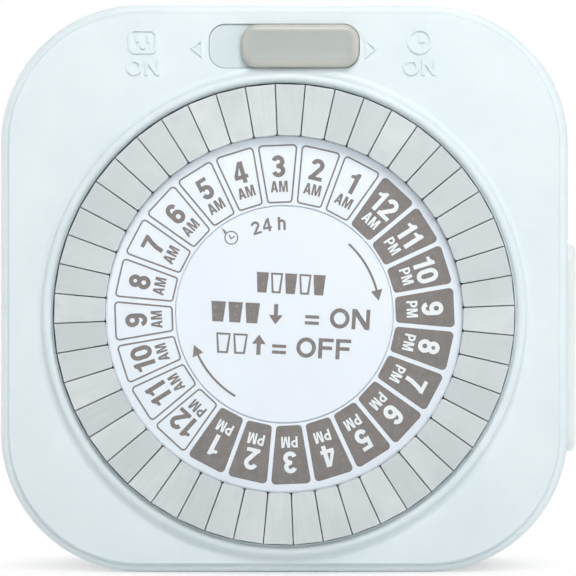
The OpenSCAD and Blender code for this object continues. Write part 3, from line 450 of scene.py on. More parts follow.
# Enamelled copper wire in even turns
COPPER_WINDING = WoundWire("wound_enamelled_copper", "#b4703d", "#8a4f28", 0.3)
# Sintered ferrite: matt dark grey like stone
FERRITE = MouldedPlastic("sintered_ferrite", "#4a4a4c", "#3c3c3e", 0.6, ior=1.6)
# Matt coated paper for the studio floor
FLOOR_PAPER = StudioPaper("matt_white_paper", "#fbfbfb", "#f5f6f6", 0.85)


# ---- Flat shapes ----


def arc(centre: Point, rx: float, ry: float, start: float, end: float, steps: int = 14) -> Outline:
    """Makes part of an ellipse, from start to end in degrees anticlockwise from the right."""
    angles = [math.radians(start + (end - start) * i / steps) for i in range(steps + 1)]
    return [(centre[0] + rx * math.cos(a), centre[1] + ry * math.sin(a)) for a in angles]


def box(x0: float, y0: float, x1: float, y1: float) -> Region:
    """Makes a filled rectangle between two corners."""
    return ([(x0, y0), (x1, y0), (x1, y1), (x0, y1)], [])


def band(path: Outline, width: float, closed: bool = False) -> Region:
    """Makes a line of even width.

    Args:
        path: Its middle.
        width: Its width.
        closed: Whether it joins its own start.

    Returns:
        The filled line.
    """
    left: Outline = []
    right: Outline = []
    last = len(path) - 1
    for i, here in enumerate(path):
        now = Vector(here)
        before = Vector(path[i - 1]) if i > 0 or closed else None
        after = Vector(path[(i + 1) % len(path)]) if i < last or closed else None
        way_in = (now - before).normalized() if before else (after - now).normalized()
        way_out = (after - now).normalized() if after else way_in
        way = (way_in + way_out).normalized()
        reach = width / 2 / max(0.4, way.dot(way_in))
        left.append((now.x - way.y * reach, now.y + way.x * reach))
        right.append((now.x + way.y * reach, now.y - way.x * reach))
    if not closed:
        return (left + right[::-1], [])
    return (left, [right]) if abs(area(left)) > abs(area(right)) else (right, [left])


def area(outline: Outline) -> float:
    """Works out an outline's area, which is above zero where its points run anticlockwise."""
    return sum(a[0] * b[1] - b[0] * a[1] for a, b in zip(outline, outline[1:] + outline[:1])) / 2


def inside(point: Point, outline: Outline) -> bool:
    """Tells whether an outline winds round a point.

    Args:
        point: The point.
        outline: The outline.

    Returns:
        True where it does.
    """
    winding = 0
    for (x0, y0), (x1, y1) in zip(outline, outline[1:] + outline[:1]):
        side = (x1 - x0) * (point[1] - y0) - (point[0] - x0) * (y1 - y0)
        if y0 <= point[1] < y1 and side > 0:
            winding += 1
        elif y1 <= point[1] < y0 and side < 0:
            winding -= 1
    return winding != 0


def filled(regions: list[Region]) -> Sheet:
    """Joins regions that may overlap into one sheet of triangles, with no edge crossing another.

    Args:
        regions: Each with its outer edge and its holes.

    Returns:
        The points, and the triangles as numbers of points.
    """
    points: Outline = []
    edges: list[tuple[int, int]] = []
    for outer, holes in regions:
        for loop in (outer, *holes):
            first = len(points)
            points.extend(loop)
            edges.extend((first + i, first + (i + 1) % len(loop)) for i in range(len(loop)))
    spots, _, triangles, *_ = delaunay_2d_cdt([Vector(p) for p in points], edges, [], 0, 1e-5)
    kept = []
    for triangle in triangles:
        middle = (sum(spots[i].x for i in triangle) / 3, sum(spots[i].y for i in triangle) / 3)
        if any(inside(middle, outer) and not any(inside(middle, hole) for hole in holes)
               for outer, holes in regions):
            kept.append(tuple(triangle))
    return [(v.x, v.y) for v in spots], kept


@dataclass
class Lettering:
    """A plain sans serif made of strokes, for numbers and for ON, OFF, AM, PM and h, one unit tall."""

    width: float  # of a figure
    stroke: float
    gap: float
    known: dict[str, tuple[Sheet, float]] = field(default_factory=dict)

    def draw(self, letter: str) -> tuple[list[Region], float]:
        """Draws a number, letter or sign.

        Args:
            letter: One of 0 to 9, A, M, P, O, N, F, h and =.

        Returns:
            Its overlapping regions and its width.
        """
        w, t = self.width, self.stroke
        left, right, low, high, m, rx = t / 2, w - t / 2, t / 2, 1 - t / 2, w / 2, (w - t) / 2
        bar = 0.88 * t
        if letter == "0":
            ring = arc((m, high - 0.26), rx, 0.26, 0, 180) + arc((m, low + 0.26), rx, 0.26, 180, 360)
            return [band(ring, t, True)], w
        if letter == "1":
            x0, x1 = 0.2, 0.2 + t
            return [([(x0, 0), (x1, 0), (x1, 1), (x0 + 0.3 * t, 1), (x0 - 0.04, 0.87), (x0 - 0.2, 0.81),
                      (x0 - 0.2, 0.68), (x0, 0.7)], [])], x1 + 0.03
        if letter == "2":
            return [band(arc((m, high - 0.21), rx, 0.21, 170, -32) + [(left + 0.02, t / 2)], t),
                    box(0, 0, w, bar)], w
        if letter == "3":
            upper, lower = (high - 0.52) / 2, (0.5 - low) / 2
            return [band(arc((m - 0.01, high - upper), rx * 0.94, upper, 165, -90), t),
                    band(arc((m, low + lower), rx, lower, 90, -165), t),
                    box(m - 0.09, 0.51 - bar / 2, m, 0.51 + bar / 2)], w
        if letter == "4":
            x0, x1, y0, y1 = w - 0.1 - t, w - 0.1, 0.2, 0.2 + bar
            return [([(x0, 0), (x1, 0), (x1, y0), (w, y0), (w, y1), (x1, y1), (x1, 1), (x0 - 0.02, 1),
                      (0, y1 + 0.02), (0, y0), (x0, y0)], [[(x0, y1), (x0, 0.74), (t * 0.85, y1)]])], w
        if letter == "5":
            return [([(0.03, 0.44), (0.03 + bar, 0.5), (0.07 + bar, 1 - bar), (w - 0.05, 1 - bar), (w - 0.05, 1),
                      (0.08, 1)], []), band(arc((m, low + 0.235), rx, 0.235, 142, -165), t)], w
        if letter == "6":
            return [band(arc((m, low + 0.22), rx, 0.22, 0, 345, 22), t, True),
                    band([(left, low + 0.2)] + arc((m, high - 0.25), rx, 0.25, 180, 22), t)], w
        if letter == "7":
            return [box(0.01, 1 - bar, w, 1),
                    band([(right, 1 - t / 2), (w * 0.64, 0.62), (w * 0.48, 0.3), (w * 0.43, 0.0)], t)], w
        if letter == "8":
            upper, lower = (high - 0.52) / 2, (0.52 - low) / 2
            return [band(arc((m, high - upper), rx * 0.9, upper, 0, 345, 22), t, True),
                    band(arc((m, low + lower), rx, lower, 0, 345, 22), t, True)], w
        if letter == "9":
            six, _ = self.draw("6")
            return [(turned(outer, 180, (m, 0.5)), [turned(hole, 180, (m, 0.5)) for hole in holes])
                    for outer, holes in six], w
        if letter == "A":
            a, y = w * 1.1, 0.2 + bar
            return [([(0, 0), (t, 0), (t + 0.05, 0.2), (a - t - 0.05, 0.2), (a - t, 0), (a, 0),
                      (a / 2 + t * 0.6, 1), (a / 2 - t * 0.6, 1)],
                     [[(t + 0.09, y), (a - t - 0.09, y), (a / 2, y + 0.38)]])], a
        if letter == "M":
            a, s = w * 1.3, t * 0.9
            return [([(0, 0), (s, 0), (s, 0.66), (a / 2 - t * 0.42, 0), (a / 2 + t * 0.42, 0), (a - s, 0.66),
                      (a - s, 0), (a, 0), (a, 1), (a - t * 1.35, 1), (a / 2, 0.33), (t * 1.35, 1), (0, 1)], [])], a
        if letter == "P":
            r = (high - 0.42) / 2
            bowl = arc((w - t / 2 - r, high - r), r, r, 90, -90)
            return [box(0, 0, t, 1), band([(t / 2, high), *bowl, (t / 2, high - 2 * r)], t)], w
        if letter == "O":
            a = w * 1.15
            return [band(arc((a / 2, 0.5), (a - t) / 2, 0.5 - t / 2, 0, 350, 34), t, True)], a
        if letter == "N":
            a, s = w * 1.05, t * 0.95
            return [([(0, 0), (s, 0), (s, 0.66), (a - t * 1.15, 0), (a, 0), (a, 1), (a - s, 1), (a - s, 0.34),
                      (t * 1.15, 1), (0, 1)], [])], a
        if letter == "F":
            return [box(0, 0, t, 1), box(0, 1 - bar, w * 0.88, 1), box(0, 0.44, w * 0.8, 0.44 + bar)], w * 0.88
        if letter == "h":
            r = (w * 0.9 - t) / 2
            return [box(0, 0, t, 1), band([(t / 2, 0.4)] + arc((t / 2 + r, 0.5), r, 0.22, 180, 0)
                                          + [(t / 2 + 2 * r, 0.0)], t)], w * 0.9
        if letter == "=":
            return [box(0, 0.2, w * 0.82, 0.2 + t * 0.8), box(0, 0.5, w * 0.82, 0.5 + t * 0.8)], w * 0.82
        raise ValueError(f"no drawing for {letter}")

    def glyph(self, letter: str) -> tuple[Sheet, float]:
        """Hands back a letter as a joined sheet, drawn once.

        Args:
            letter: The letter.

        Returns:
            The sheet and the letter's width.
        """
        if letter not in self.known:
            regions, width = self.draw(letter)
            self.known[letter] = (filled(regions), width)
        return self.known[letter]

    def word(self, text: str) -> list[Sheet]:
        """Sets a word about its own middle, one unit tall.

        Args:
            text: The word.

        Returns:
            The letters' sheets.
        """
        out: list[Sheet] = []
        at = 0.0
        for letter in text:
            (points, triangles), width = self.glyph(letter)
            out.append((shifted(points, (at, -0.5)), triangles))
            at += width + self.gap
        middle = (at - self.gap) / 2
        return [(shifted(points, (-middle, 0.0)), triangles) for points, triangles in out]


# ---- Making pieces ----


@dataclass
class Stencil:
    """Gathers flat shapes and letters on the face, and makes one thin or raised piece of them."""

    name: str
    points: Outline = field(default_factory=list)
    triangles: list[tuple[int, ...]] = field(default_factory=list)

    def add(self, sheet: Sheet) -> None:
        """Adds a sheet as it is.

        Args:
            sheet: Its points and triangles.
        """
        first = len(self.points)
        self.points.extend(sheet[0])
        self.triangles.extend(tuple(first + i for i in triangle) for triangle in sheet[1])

    def shape(self, outer: Outline, holes: Iterable[Outline] = ()) -> None:
        """Adds a filled outline with its holes."""
        self.add(filled([(outer, list(holes))]))

    def stroke(self, path: Outline, width: float, closed: bool = False) -> None:
        """Adds a line of even width along a path."""
        self.add(filled([band(path, width, closed)]))

    def letters(self, text: str, face: Lettering, height: float, centre: Point, degrees: float = 0.0) -> None:
        """Adds a word or number.

        Args:
            text: The letters.
            face: Their drawing.
            height: Height of a capital in millimetres.
            centre: Middle of the word.
            degrees: Its turn, anticlockwise.
        """
        for points, triangles in face.word(text):
            scaled = [(x * height, y * height) for x, y in points]
            self.add((shifted(turned(scaled, degrees), centre), triangles))

    def build(self, bottom: float, top: float, finish: Finish, body: str, slot: str,
              edge: float = 0.0) -> bpy.types.Object:
        """Makes the piece as a sheet between two heights.

        Args:
            bottom: Height of its underside, in millimetres from the wall face.
            top: Height of its upper side.
            finish: Its finish.
            body: The body that it moves with.
            slot: The record's material slot; not used.
            edge: Rounding of its upper edge in millimetres.

        Returns:
            The piece.
        """
        work = bmesh.new()
        verts = heights(work, self.points, top)
        for triangle in self.triangles:
            work.faces.new([verts[i] for i in triangle])
        bmesh.ops.dissolve_limit(work, angle_limit=math.radians(0.5), verts=work.verts, edges=work.edges)
        piece = put_piece(self.name, work, finish, body, closed=False)
        sheet = piece.modifiers.new("sheet", "SOLIDIFY")
        sheet.thickness = (top - bottom) * MM
        sheet.offset = -1.0
        if edge:
            soften(piece, edge)
        return piece


def heights(work: Work, outline: Iterable[Point], h: float) -> Ring:
    """Adds an outline's points to a mesh, at one height in millimetres from the wall face."""
    return [work.verts.new(face_point(x, y, h)) for x, y in outline]


def stack(work: Work, rings: list[Ring], capped: bool = False) -> None:
    """Joins rings of equal count by faces, each to the next.

    Args:
        work: The mesh in the making.
        rings: The rings in order.
        capped: Whether a face closes the first and the last ring.
    """
    for low, high in zip(rings, rings[1:]):
        for i in range(len(low)):
            j = (i + 1) % len(low)
            work.faces.new((low[i], low[j], high[j], high[i]))
    if capped:
        work.faces.new(rings[0])
        work.faces.new(rings[-1])


def put_piece(name: str, work: Work, finish: Finish, body: str, closed: bool = True,
              smooth_below: float = 0.0) -> bpy.types.Object:
    """Puts a new piece into the scene.

    Args:
        name: Its name.
        work: Its mesh, in the model's metres, which is freed.
        finish: Its finish.
        body: The body that it moves with.
        closed: Whether the mesh is closed, so that its faces can be turned outwards.
        smooth_below: Angle in degrees below which two faces shade as one, or 0 for flat faces.

    Returns:
        The piece.
    """
    if closed:
        bmesh.ops.recalc_face_normals(work, faces=work.faces)
    mesh = bpy.data.meshes.new(name)
    work.to_mesh(mesh)
    work.free()
    if smooth_below:
        mesh.shade_smooth()
        mesh.set_sharp_from_angle(angle=math.radians(smooth_below))
    piece = bpy.data.objects.new(name, mesh)
    bpy.context.scene.collection.objects.link(piece)
    mesh.materials.append(finish.material())
    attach(piece, body)
    log.info("%s: %d faces on %s", name, len(mesh.polygons), body)
    return piece


def soften(piece: bpy.types.Object, width: float, weld: bool = False) -> None:
    """Rounds a piece's sharp edges a little, as a mould or a tumbler leaves them.

    Args:
        piece: The piece.
        width: Width of the rounding in millimetres.
        weld: Whether the faces come apart at their edges and are joined first.
    """
    if weld:
        piece.modifiers.new("join", "WELD").merge_threshold = 0.0005 * MM
    edge = piece.modifiers.new("edge", "BEVEL")
    edge.width = width * MM
    edge.segments = 2
    edge.limit_method = "ANGLE"
    edge.angle_limit = math.radians(40)


# ---- The CAD pieces ----


@dataclass
class CadFinishes:
    """Gives each CAD node its finish, and rounds the edges that show."""

    nodes: dict[Finish, str] = field(default_factory=lambda: {
        CASE_ABS: "front_cover rear_case",
        OUTLET_PC: "outlet_block",
        LABEL_SHEET: "hour_ring centre_disc",
        SLIDE_ABS: "override_slide",
        PIN_ACETAL: "follower_lever",
        NYLON: "movement_plate dial_wheel idler_gear clutch_wheel drive_pinion gear_bridge",
        BRASS: "slide_bridge bypass_line_contact bypass_load_contact motor_output line_strap load_strap "
               "neutral_strap outlet_line_contact outlet_neutral_contact outlet_earth_contact",
        NICKEL: "line_blade neutral_blade earth_pin",
        SILVER: "bridge_contact fixed_contacts",
        ZINC_STEEL: "lever_axle lever_spring motor_can motor_cover idler_axle clutch_spring",
        COPPER_WINDING: "motor_coil",
        FERRITE: "motor_rotor"})
    edges_mm: dict[str, float] = field(default_factory=lambda: {
        "outlet_block": 0.15, "hour_ring": 0.06, "centre_disc": 0.06, "line_blade": 0.15, "neutral_blade": 0.15})
    pin_edge_mm: float = 0.05

    def build(self) -> None:
        """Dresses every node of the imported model."""
        finishes = {name: finish for finish, names in self.nodes.items() for name in names.split()}
        for name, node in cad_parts.items():
            is_pin = name.startswith("pins_")
            finish = PIN_ACETAL if is_pin else finishes[name]
            for holder in node.material_slots:
                holder.material = finish.material()
            edge = self.pin_edge_mm if is_pin else self.edges_mm.get(name)
            if edge:
                soften(node, edge, weld=True)
            log.info("%s: %s", name, finish.name)


# ---- Print on the dial ----


class CellStyle(Enum):
    """How an hour's cell is printed."""

    OUTLINED = "outlined"
    FILLED = "filled"


@dataclass
class HourPrint:
    """The 24 printed cells on the ring that turns with the pins."""

    inner_r: float = 13.75
    outer_r: float = 21.0
    gap: float = 0.52
    inner_corner: float = 0.42
    outer_corner: float = 0.56
    line: float = 0.2
    digit_h: float = 2.7
    digit_r: float = 18.25
    suffix_h: float = 1.38
    suffix_r: float = 15.75
    first_turn: float = -2.3
    pitch: float = 15.0
    top: float = CASE_DEPTH + 0.4
    ink: float = 0.02
    figures: Lettering = field(default_factory=lambda: Lettering(0.62, 0.2, 0.09))
    suffixes: Lettering = field(default_factory=lambda: Lettering(0.6, 0.19, 0.09))

    def direction(self, hour: int) -> float:
        """Works out where the cell of an hour, 1 to 24, lies, in degrees clockwise from the top."""
        return self.first_turn + (3 - hour) * self.pitch

    def cell(self, inset: float, clockwise: float) -> Outline:
        """Makes one cell's outline.

        Args:
            inset: How far inside the full cell it lies, in millimetres.
            clockwise: The cell's direction from the top, in degrees.

        Returns:
            The outline on the face.
        """
        outer, inner = max(0.1, self.outer_corner - inset), max(0.1, self.inner_corner - inset)
        corners = ((1, self.outer_r - inset - outer, outer), (-1, self.outer_r - inset - outer, outer),
                   (-1, self.inner_r + inset + inner, inner), (1, self.inner_r + inset + inner, inner))
        out: Outline = []
        for quarter, (side, radius, corner) in enumerate(corners):
            for step in range(6):
                a = math.radians(90 * quarter + 18 * step)
                r = radius + corner * math.sin(a)
                half = r * math.radians(self.pitch / 2) - self.gap / 2 - inset
                turn = (side * (half - corner) + corner * math.cos(a)) / r
                out.append((r * math.sin(turn), r * math.cos(turn)))
        return shifted(turned(out, -clockwise), DIAL_AXIS)

    def build(self) -> None:
        """Makes the dark print and the white print."""
        dark, white = Stencil("hour_print_dark"), Stencil("hour_print_white")
        for hour in range(1, 25):
            style = CellStyle.FILLED if hour > 12 else CellStyle.OUTLINED
            clockwise = self.direction(hour)
            layer = white if style is CellStyle.FILLED else dark
            dark.shape(self.cell(0.0, clockwise),
                       [self.cell(self.line, clockwise)] if style is CellStyle.OUTLINED else [])
            suffix = "AM" if hour < 12 or hour == 24 else "PM"
            way = (math.sin(math.radians(clockwise)), math.cos(math.radians(clockwise)))
            for text, face, height, radius in (
                    (str((hour - 1) % 12 + 1), self.figures, self.digit_h, self.digit_r),
                    (suffix, self.suffixes, self.suffix_h, self.suffix_r)):
                centre = (radius * way[0] + DIAL_AXIS[0], radius * way[1] + DIAL_AXIS[1])
                layer.letters(text, face, height, centre, -clockwise)
        dark.build(self.top, self.top + self.ink, TAUPE_INK, "dial", "label")
        white.build(self.top, self.top + 2 * self.ink, BARE_PRINT, "dial", "label")


@dataclass(frozen=True)
class SignRow:
    """A row of the centre print: pins, an arrow for the way they moved, and the word that they stand for."""

    word: str
    raised: bool
    y: float
    pins_x: tuple[float, ...]
    arrow_x: float
    equals_at: Point
    word_at: Point


@dataclass
class CentrePrint:
    """The signs on the fixed centre disc: raised and pressed pins, the way of turning and a small clock."""

    tilt: float = -3.0
    height: float = 2.5
    ring_pins: int = 5
    ring_at: Point = (-2.9, 3.8)
    ring_pitch: float = 1.75
    ring_pin_w: float = 1.5
    pin_w: float = 1.8
    pin_line: float = 0.24
    rows: tuple[SignRow, ...] = (
        SignRow("ON", False, -0.05, (-8.15, -6.05, -3.95), -1.05, (3.45, -0.35), (8.1, -0.15)),
        SignRow("OFF", True, -3.9, (-7.35, -5.25), -2.95, (-0.42, -4.15), (5.05, -3.95)),
    )
    arrow_turns: tuple[Point, ...] = ((42.5, 81.9), (210.9, 251.3))
    arrow_r: float = 11.75
    arrow_line: float = 0.27
    arrow_head: float = 6.5
    arrow_half: float = 0.72
    clock_at: Point = (-6.53, 9.43)
    clock_r: float = 0.86
    clock_line: float = 0.15
    day_turns: tuple[tuple[str, float], ...] = (("2", -18.2), ("4", -11.0), ("h", -1.6))
    day_r: float = 11.2
    day_h: float = 1.62
    top: float = CASE_DEPTH + 0.45
    ink: float = 0.02
    words: Lettering = field(default_factory=lambda: Lettering(0.84, 0.195, 0.12))
    day: Lettering = field(default_factory=lambda: Lettering(0.66, 0.18, 0.12))

    def wedge(self, centre: Point, width: float, inset: float = 0.0) -> Outline:
        """Makes the outline of one pin seen from the front, with its width at the outer end."""
        half, narrow, tall = width / 2 - inset, width * 0.37 - inset, self.height / 2 - inset
        return shifted([(-narrow, -tall), (narrow, -tall), (half, tall), (-half, tall)], centre)

    def pin(self, layer: Stencil, centre: Point, width: float, raised: bool) -> None:
        """Draws one pin, open where it is raised and filled where it is pressed."""
        layer.shape(self.wedge(centre, width), [self.wedge(centre, width, self.pin_line)] if raised else [])

    def arrow(self, centre: Point, up: bool) -> Outline:
        """Makes a straight arrow as tall as the letters.

        Args:
            centre: Its middle.
            up: Whether it points up.

        Returns:
            The outline.
        """
        way = 1 if up else -1
        shaft, head, neck, tip = (self.height * share for share in (0.1, 0.34, 0.04, 0.5))
        return shifted([(-shaft, -way * tip), (shaft, -way * tip), (shaft, way * neck), (head, way * neck),
                        (0.0, way * tip), (-head, way * neck), (-shaft, way * neck)], centre)

    def rim(self, clockwise: float, out: float = 0.0) -> Point:
        """Finds a point near the rim, in degrees from the top and millimetres outside the arrows' circle."""
        a, r = math.radians(clockwise), self.arrow_r + out
        return (r * math.sin(a), r * math.cos(a))

    def turning_arrow(self, layer: Stencil, start: float, end: float) -> None:
        """Draws an arc with an arrowhead along the rim.

        Args:
            layer: The print that it goes into.
            start: Where it starts, in degrees clockwise from the top.
            end: Where its point is.
        """
        neck = end - self.arrow_head
        layer.stroke([self.rim(start + (neck - start) * i / 16) for i in range(17)], self.arrow_line)
        layer.shape([self.rim(neck, self.arrow_half), self.rim(end), self.rim(neck, -self.arrow_half)])

    def level_signs(self) -> Stencil:
        """Draws the three level rows: a ring of pins, pressed means on, raised means off.

        Returns:
            The rows about the dial's axis, not yet tilted.
        """
        out = Stencil("rows")
        for i in range(self.ring_pins):
            self.pin(out, (self.ring_at[0] + self.ring_pitch * i, self.ring_at[1]), self.ring_pin_w, i % 2 == 1)
        for row in self.rows:
            for x in row.pins_x:
                self.pin(out, (x, row.y), self.pin_w, row.raised)
            out.shape(self.arrow((row.arrow_x, row.y), row.raised))
            out.letters("=", self.words, self.height, row.equals_at)
            out.letters(row.word, self.words, self.height, row.word_at)
        return out

    def clock(self, layer: Stencil) -> None:
        """Draws a clock whose pointer shows where the time is read.

        Args:
            layer: The print that it goes into.
        """
        x, y = self.clock_at
        r = self.clock_r
        layer.shape(circle(r, self.clock_at), [circle(r - self.clock_line, self.clock_at)])
        layer.stroke([(x - 0.3 * r, y + 0.42 * r), (x - 0.05 * r, y - 0.15 * r), (x + 0.5 * r, y + 0.22 * r)],
                     self.clock_line)
        layer.shape([(x - 1.22, y + 1.28), (x - 0.55, y + 0.72), (x - 0.8, y + 0.42)])

    def build(self) -> None:
        """Makes the print."""
        layer = Stencil("centre_print")
        level = self.level_signs()
        layer.add((turned(level.points, self.tilt), level.triangles))
        for start, end in self.arrow_turns:
            self.turning_arrow(layer, start, end)
        self.clock(layer)
        for letter, turn in self.day_turns:
            a = math.radians(turn)
            layer.letters(letter, self.day, self.day_h, (self.day_r * math.sin(a), self.day_r * math.cos(a)), -turn)
        layer.points = shifted(layer.points, DIAL_AXIS)
        layer.build(self.top, self.top + self.ink, TAUPE_INK, "housing", "label")


# ---- Raised marks beside the slide ----


@dataclass
class RaisedMarks:
    """Signs moulded on the front cover: a socket at the left of the slide, a clock at its right, and ON under each."""

    rise: float = 0.28
    root: float = 0.05
    line: float = 0.36
    edge: float = 0.16
    height: float = 2.05
    left_x: float = -17.4
    right_x: float = 16.7
    sign_y: float = 30.5
    word_y: float = 27.3
    socket_size: Point = (3.7, 3.1)
    socket_corners: Point = (0.9, 0.55)
    slot: tuple[float, float, float] = (0.36, 1.0, 0.12)
    slot_at: Point = (0.65, 0.35)
    hole_r: float = 0.32
    hole_y: float = -0.7
    clock_r: float = 1.6
    hands: Point = (0.85, 0.65)
    tips: tuple[Point, ...] = ((-11.35, 29.65), (11.25, 29.6))
    tip_length: float = 1.15
    tip_half: float = 1.0
    tip_line: float = 0.24
    words: Lettering = field(default_factory=lambda: Lettering(0.86, 0.2, 0.14))

    def socket(self, layer: Stencil, centre: Point) -> None:
        """Draws a socket with two slots and a round hole.

        Args:
            layer: The raised piece.
            centre: Its centre.
        """
        x, y = centre
        (wide, tall), (outer, inner), rim = self.socket_size, self.socket_corners, 2 * self.line
        layer.shape(rounded_box(wide, tall, outer, centre), [rounded_box(wide - rim, tall - rim, inner, centre)])
        for side in (-self.slot_at[0], self.slot_at[0]):
            layer.shape(rounded_box(*self.slot, (x + side, y + self.slot_at[1])))
        layer.shape(circle(self.hole_r, (x, y + self.hole_y), 20))

    def clock(self, layer: Stencil, centre: Point) -> None:
        """Draws a clock with its hands.

        Args:
            layer: The raised piece.
            centre: Its centre.
        """
        x, y = centre
        layer.shape(circle(self.clock_r, centre), [circle(self.clock_r - self.line, centre)])
        layer.stroke([(x, y + self.hands[0]), (x, y), (x + self.hands[1], y)], self.line)

    def build(self) -> None:
        """Makes the raised marks as one piece of the front cover."""
        layer = Stencil("raised_marks")
        self.socket(layer, (self.left_x, self.sign_y))
        self.clock(layer, (self.right_x, self.sign_y))
        for x in (self.left_x, self.right_x):
            layer.letters("ON", self.words, self.height, (x, self.word_y))
        for x, y in self.tips:
            back = x - math.copysign(self.tip_length, x)
            layer.stroke([(x, y), (back, y + self.tip_half), (back, y - self.tip_half)], self.tip_line, closed=True)
        layer.build(CASE_DEPTH - self.root, CASE_DEPTH + self.rise, CASE_ABS, "housing", "case_white", self.edge)


# ---- Collar ----


@dataclass
class CollarLip:
    """The collar's inner wall, which leans in to the pins and leaves only a hairline round them."""

    outer_r: float = 28.62
    inner_r: float = 28.45
    shift: Point = (-0.03, 0.05)
    bottom: float = 36.4
    top: float = CASE_DEPTH + 0.75
    round_r: float = 0.12
    steps: int = 192

    def build(self) -> None:
        """Makes the lip as a turned ring whose inner wall is slightly off centre."""
        work = bmesh.new()
        lean = [(self.inner_r, self.bottom)]
        for i in range(5):
            a = math.radians(22.5 * i)
            lean.append((self.inner_r + self.round_r * (1 - math.cos(a)),
                         self.top - self.round_r + self.round_r * math.sin(a)))
        rings = [heights(work, shifted(circle(radius, self.shift, self.steps), DIAL_AXIS), h)
                 for radius, h in lean]
        rings += [heights(work, circle(self.outer_r, DIAL_AXIS, self.steps), h) for h in (self.top, self.bottom)]
        stack(work, rings + rings[:1])
        put_piece("collar_lip", work, CASE_ABS, "housing", smooth_below=40.0)


# ---- Override slide ----


@dataclass
class OverrideSlide:
    """The slide's pillowed button on its stem and carrier, and the shallow floor that it runs over."""

    centre: Point = (1.95, 29.86)
    length: float = 14.5
    width: float = 5.3
    corner: float = 1.9
    bottom: float = CASE_DEPTH - 0.2
    top: float = CASE_DEPTH + 1.3
    edge: float = 0.7
    dish: float = 0.07
    slope: float = 1.3
    stem_l: float = 4.0
    stem_w: float = 2.2
    stem_corner: float = 0.15
    carrier_l: float = 10.0
    carrier_h: tuple[float, float] = (33.2, 34.4)
    recess: tuple[float, float, float] = (18.6, 5.5, 2.0)
    recess_gap: float = 0.05
    slot_half: Point = (4.15, 1.2)
    floor_h: tuple[float, float] = (36.75, CASE_DEPTH - 0.3)

    def profile(self) -> list[tuple[float, float]]:
        """Works out the button's section from its underside over the rim into the dish.

        Returns:
            For each step how far inside the outline it lies, and its height.
        """
        out = [(0.08, self.bottom), (0.0, self.bottom + 0.08)]
        for i in range(9):
            a = math.radians(90 * i / 8)
            out.append((self.edge * (1 - math.cos(a)), self.top - self.edge * (1 - math.sin(a))))
        for i in range(1, 8):
            drop = self.dish * (1 - math.cos(math.pi * i / 7)) / 2
            out.append((self.edge + self.slope * i / 7, self.top - drop))
        return out

    def prism(self, work: Work, length: float, low: float, high: float) -> None:
        """Adds the stem or the carrier between two heights."""
        outline = rounded_box(length, self.stem_w, self.stem_corner, self.centre)
        stack(work, [heights(work, outline, h) for h in (low, high)], capped=True)

    def build(self) -> None:
        """Makes the slide, which stands for the CAD's, and the floor of its recess."""
        work = bmesh.new()
        stack(work, [heights(work, rounded_box(self.length - 2 * inset, self.width - 2 * inset,
                                               max(0.3, self.corner - inset), self.centre), h)
                     for inset, h in self.profile()], capped=True)
        self.prism(work, self.stem_l, self.carrier_h[1] - 0.1, self.bottom + 0.2)
        self.prism(work, self.carrier_l, *self.carrier_h)
        button = put_piece("slide_button", work, SLIDE_ABS, "override", smooth_below=35.0)
        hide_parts("override_slide")
        length, width, corner = (size - trim * self.recess_gap for size, trim in zip(self.recess, (2, 2, 1)))
        x, y = self.slot_half
        mid = self.centre[1]
        layer = Stencil("recess_floor")
        layer.shape(rounded_box(length, width, corner, (0.0, mid)), [box(-x, mid - y, x, mid + y)[0]])
        # The floor's greyer finish is painted shade in the recess
        layer.build(*self.floor_h, RECESS_SHADE_ABS, "housing", "case_white", edge=0.04)


# ---- Dial flanges ----


@dataclass
class DialFlange:
    """A thin ring under the edge of the printed ring or disc, which leaves a shallow groove in place of a gap."""

    name: str
    inner_r: float
    outer_r: float
    top: float
    body: str
    depth: float = 1.0
    steps: int = 192

    def build(self) -> None:
        """Makes the ring."""
        layer = Stencil(self.name)
        layer.shape(circle(self.outer_r, DIAL_AXIS, self.steps), [circle(self.inner_r, DIAL_AXIS, self.steps)])
        layer.build(self.top - self.depth, self.top, LABEL_SHEET, self.body, "label")


# ---- Lever spring ----


@dataclass
class LeverSpring:
    """The coil under the follower lever, as long as the CAD's coil."""

    coil_r: float = 1.4
    wire_r: float = 0.25
    turns: int = 5
    per_turn: int = 28
    sides: int = 10
    reach: float = 14.5  # mm from the lever's axle to the far side of the coil
    swing: float = 13.75  # degrees that the lever swings

    def build(self) -> None:
        """Makes the coil between the seat and the lever, where the CAD's coil is."""
        low, high = (Vector(corner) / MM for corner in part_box("lever_spring"))
        x, z = (low.x + high.x) / 2, (low.z + high.z) / 2
        rest = high.y - low.y
        rise = rest - 2 * self.wire_r
        steps = self.turns * self.per_turn
        work = bmesh.new()
        rings = []
        for i in range(steps + 1):
            a = 2 * math.pi * i / self.per_turn
            y = high.y - self.wire_r - rise * i / steps
            rings.append([work.verts.new(Vector((x + (self.coil_r + out) * math.cos(a), y + along,
                                                 z + (self.coil_r + out) * math.sin(a))) * MM)
                          for out, along in circle(self.wire_r, points=self.sides)])
        stack(work, rings, capped=True)
        coil = put_piece("lever_spring_coil", work, ZINC_STEEL, "housing", smooth_below=50.0)
        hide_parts("lever_spring")
        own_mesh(coil)


# ---- Screws ----


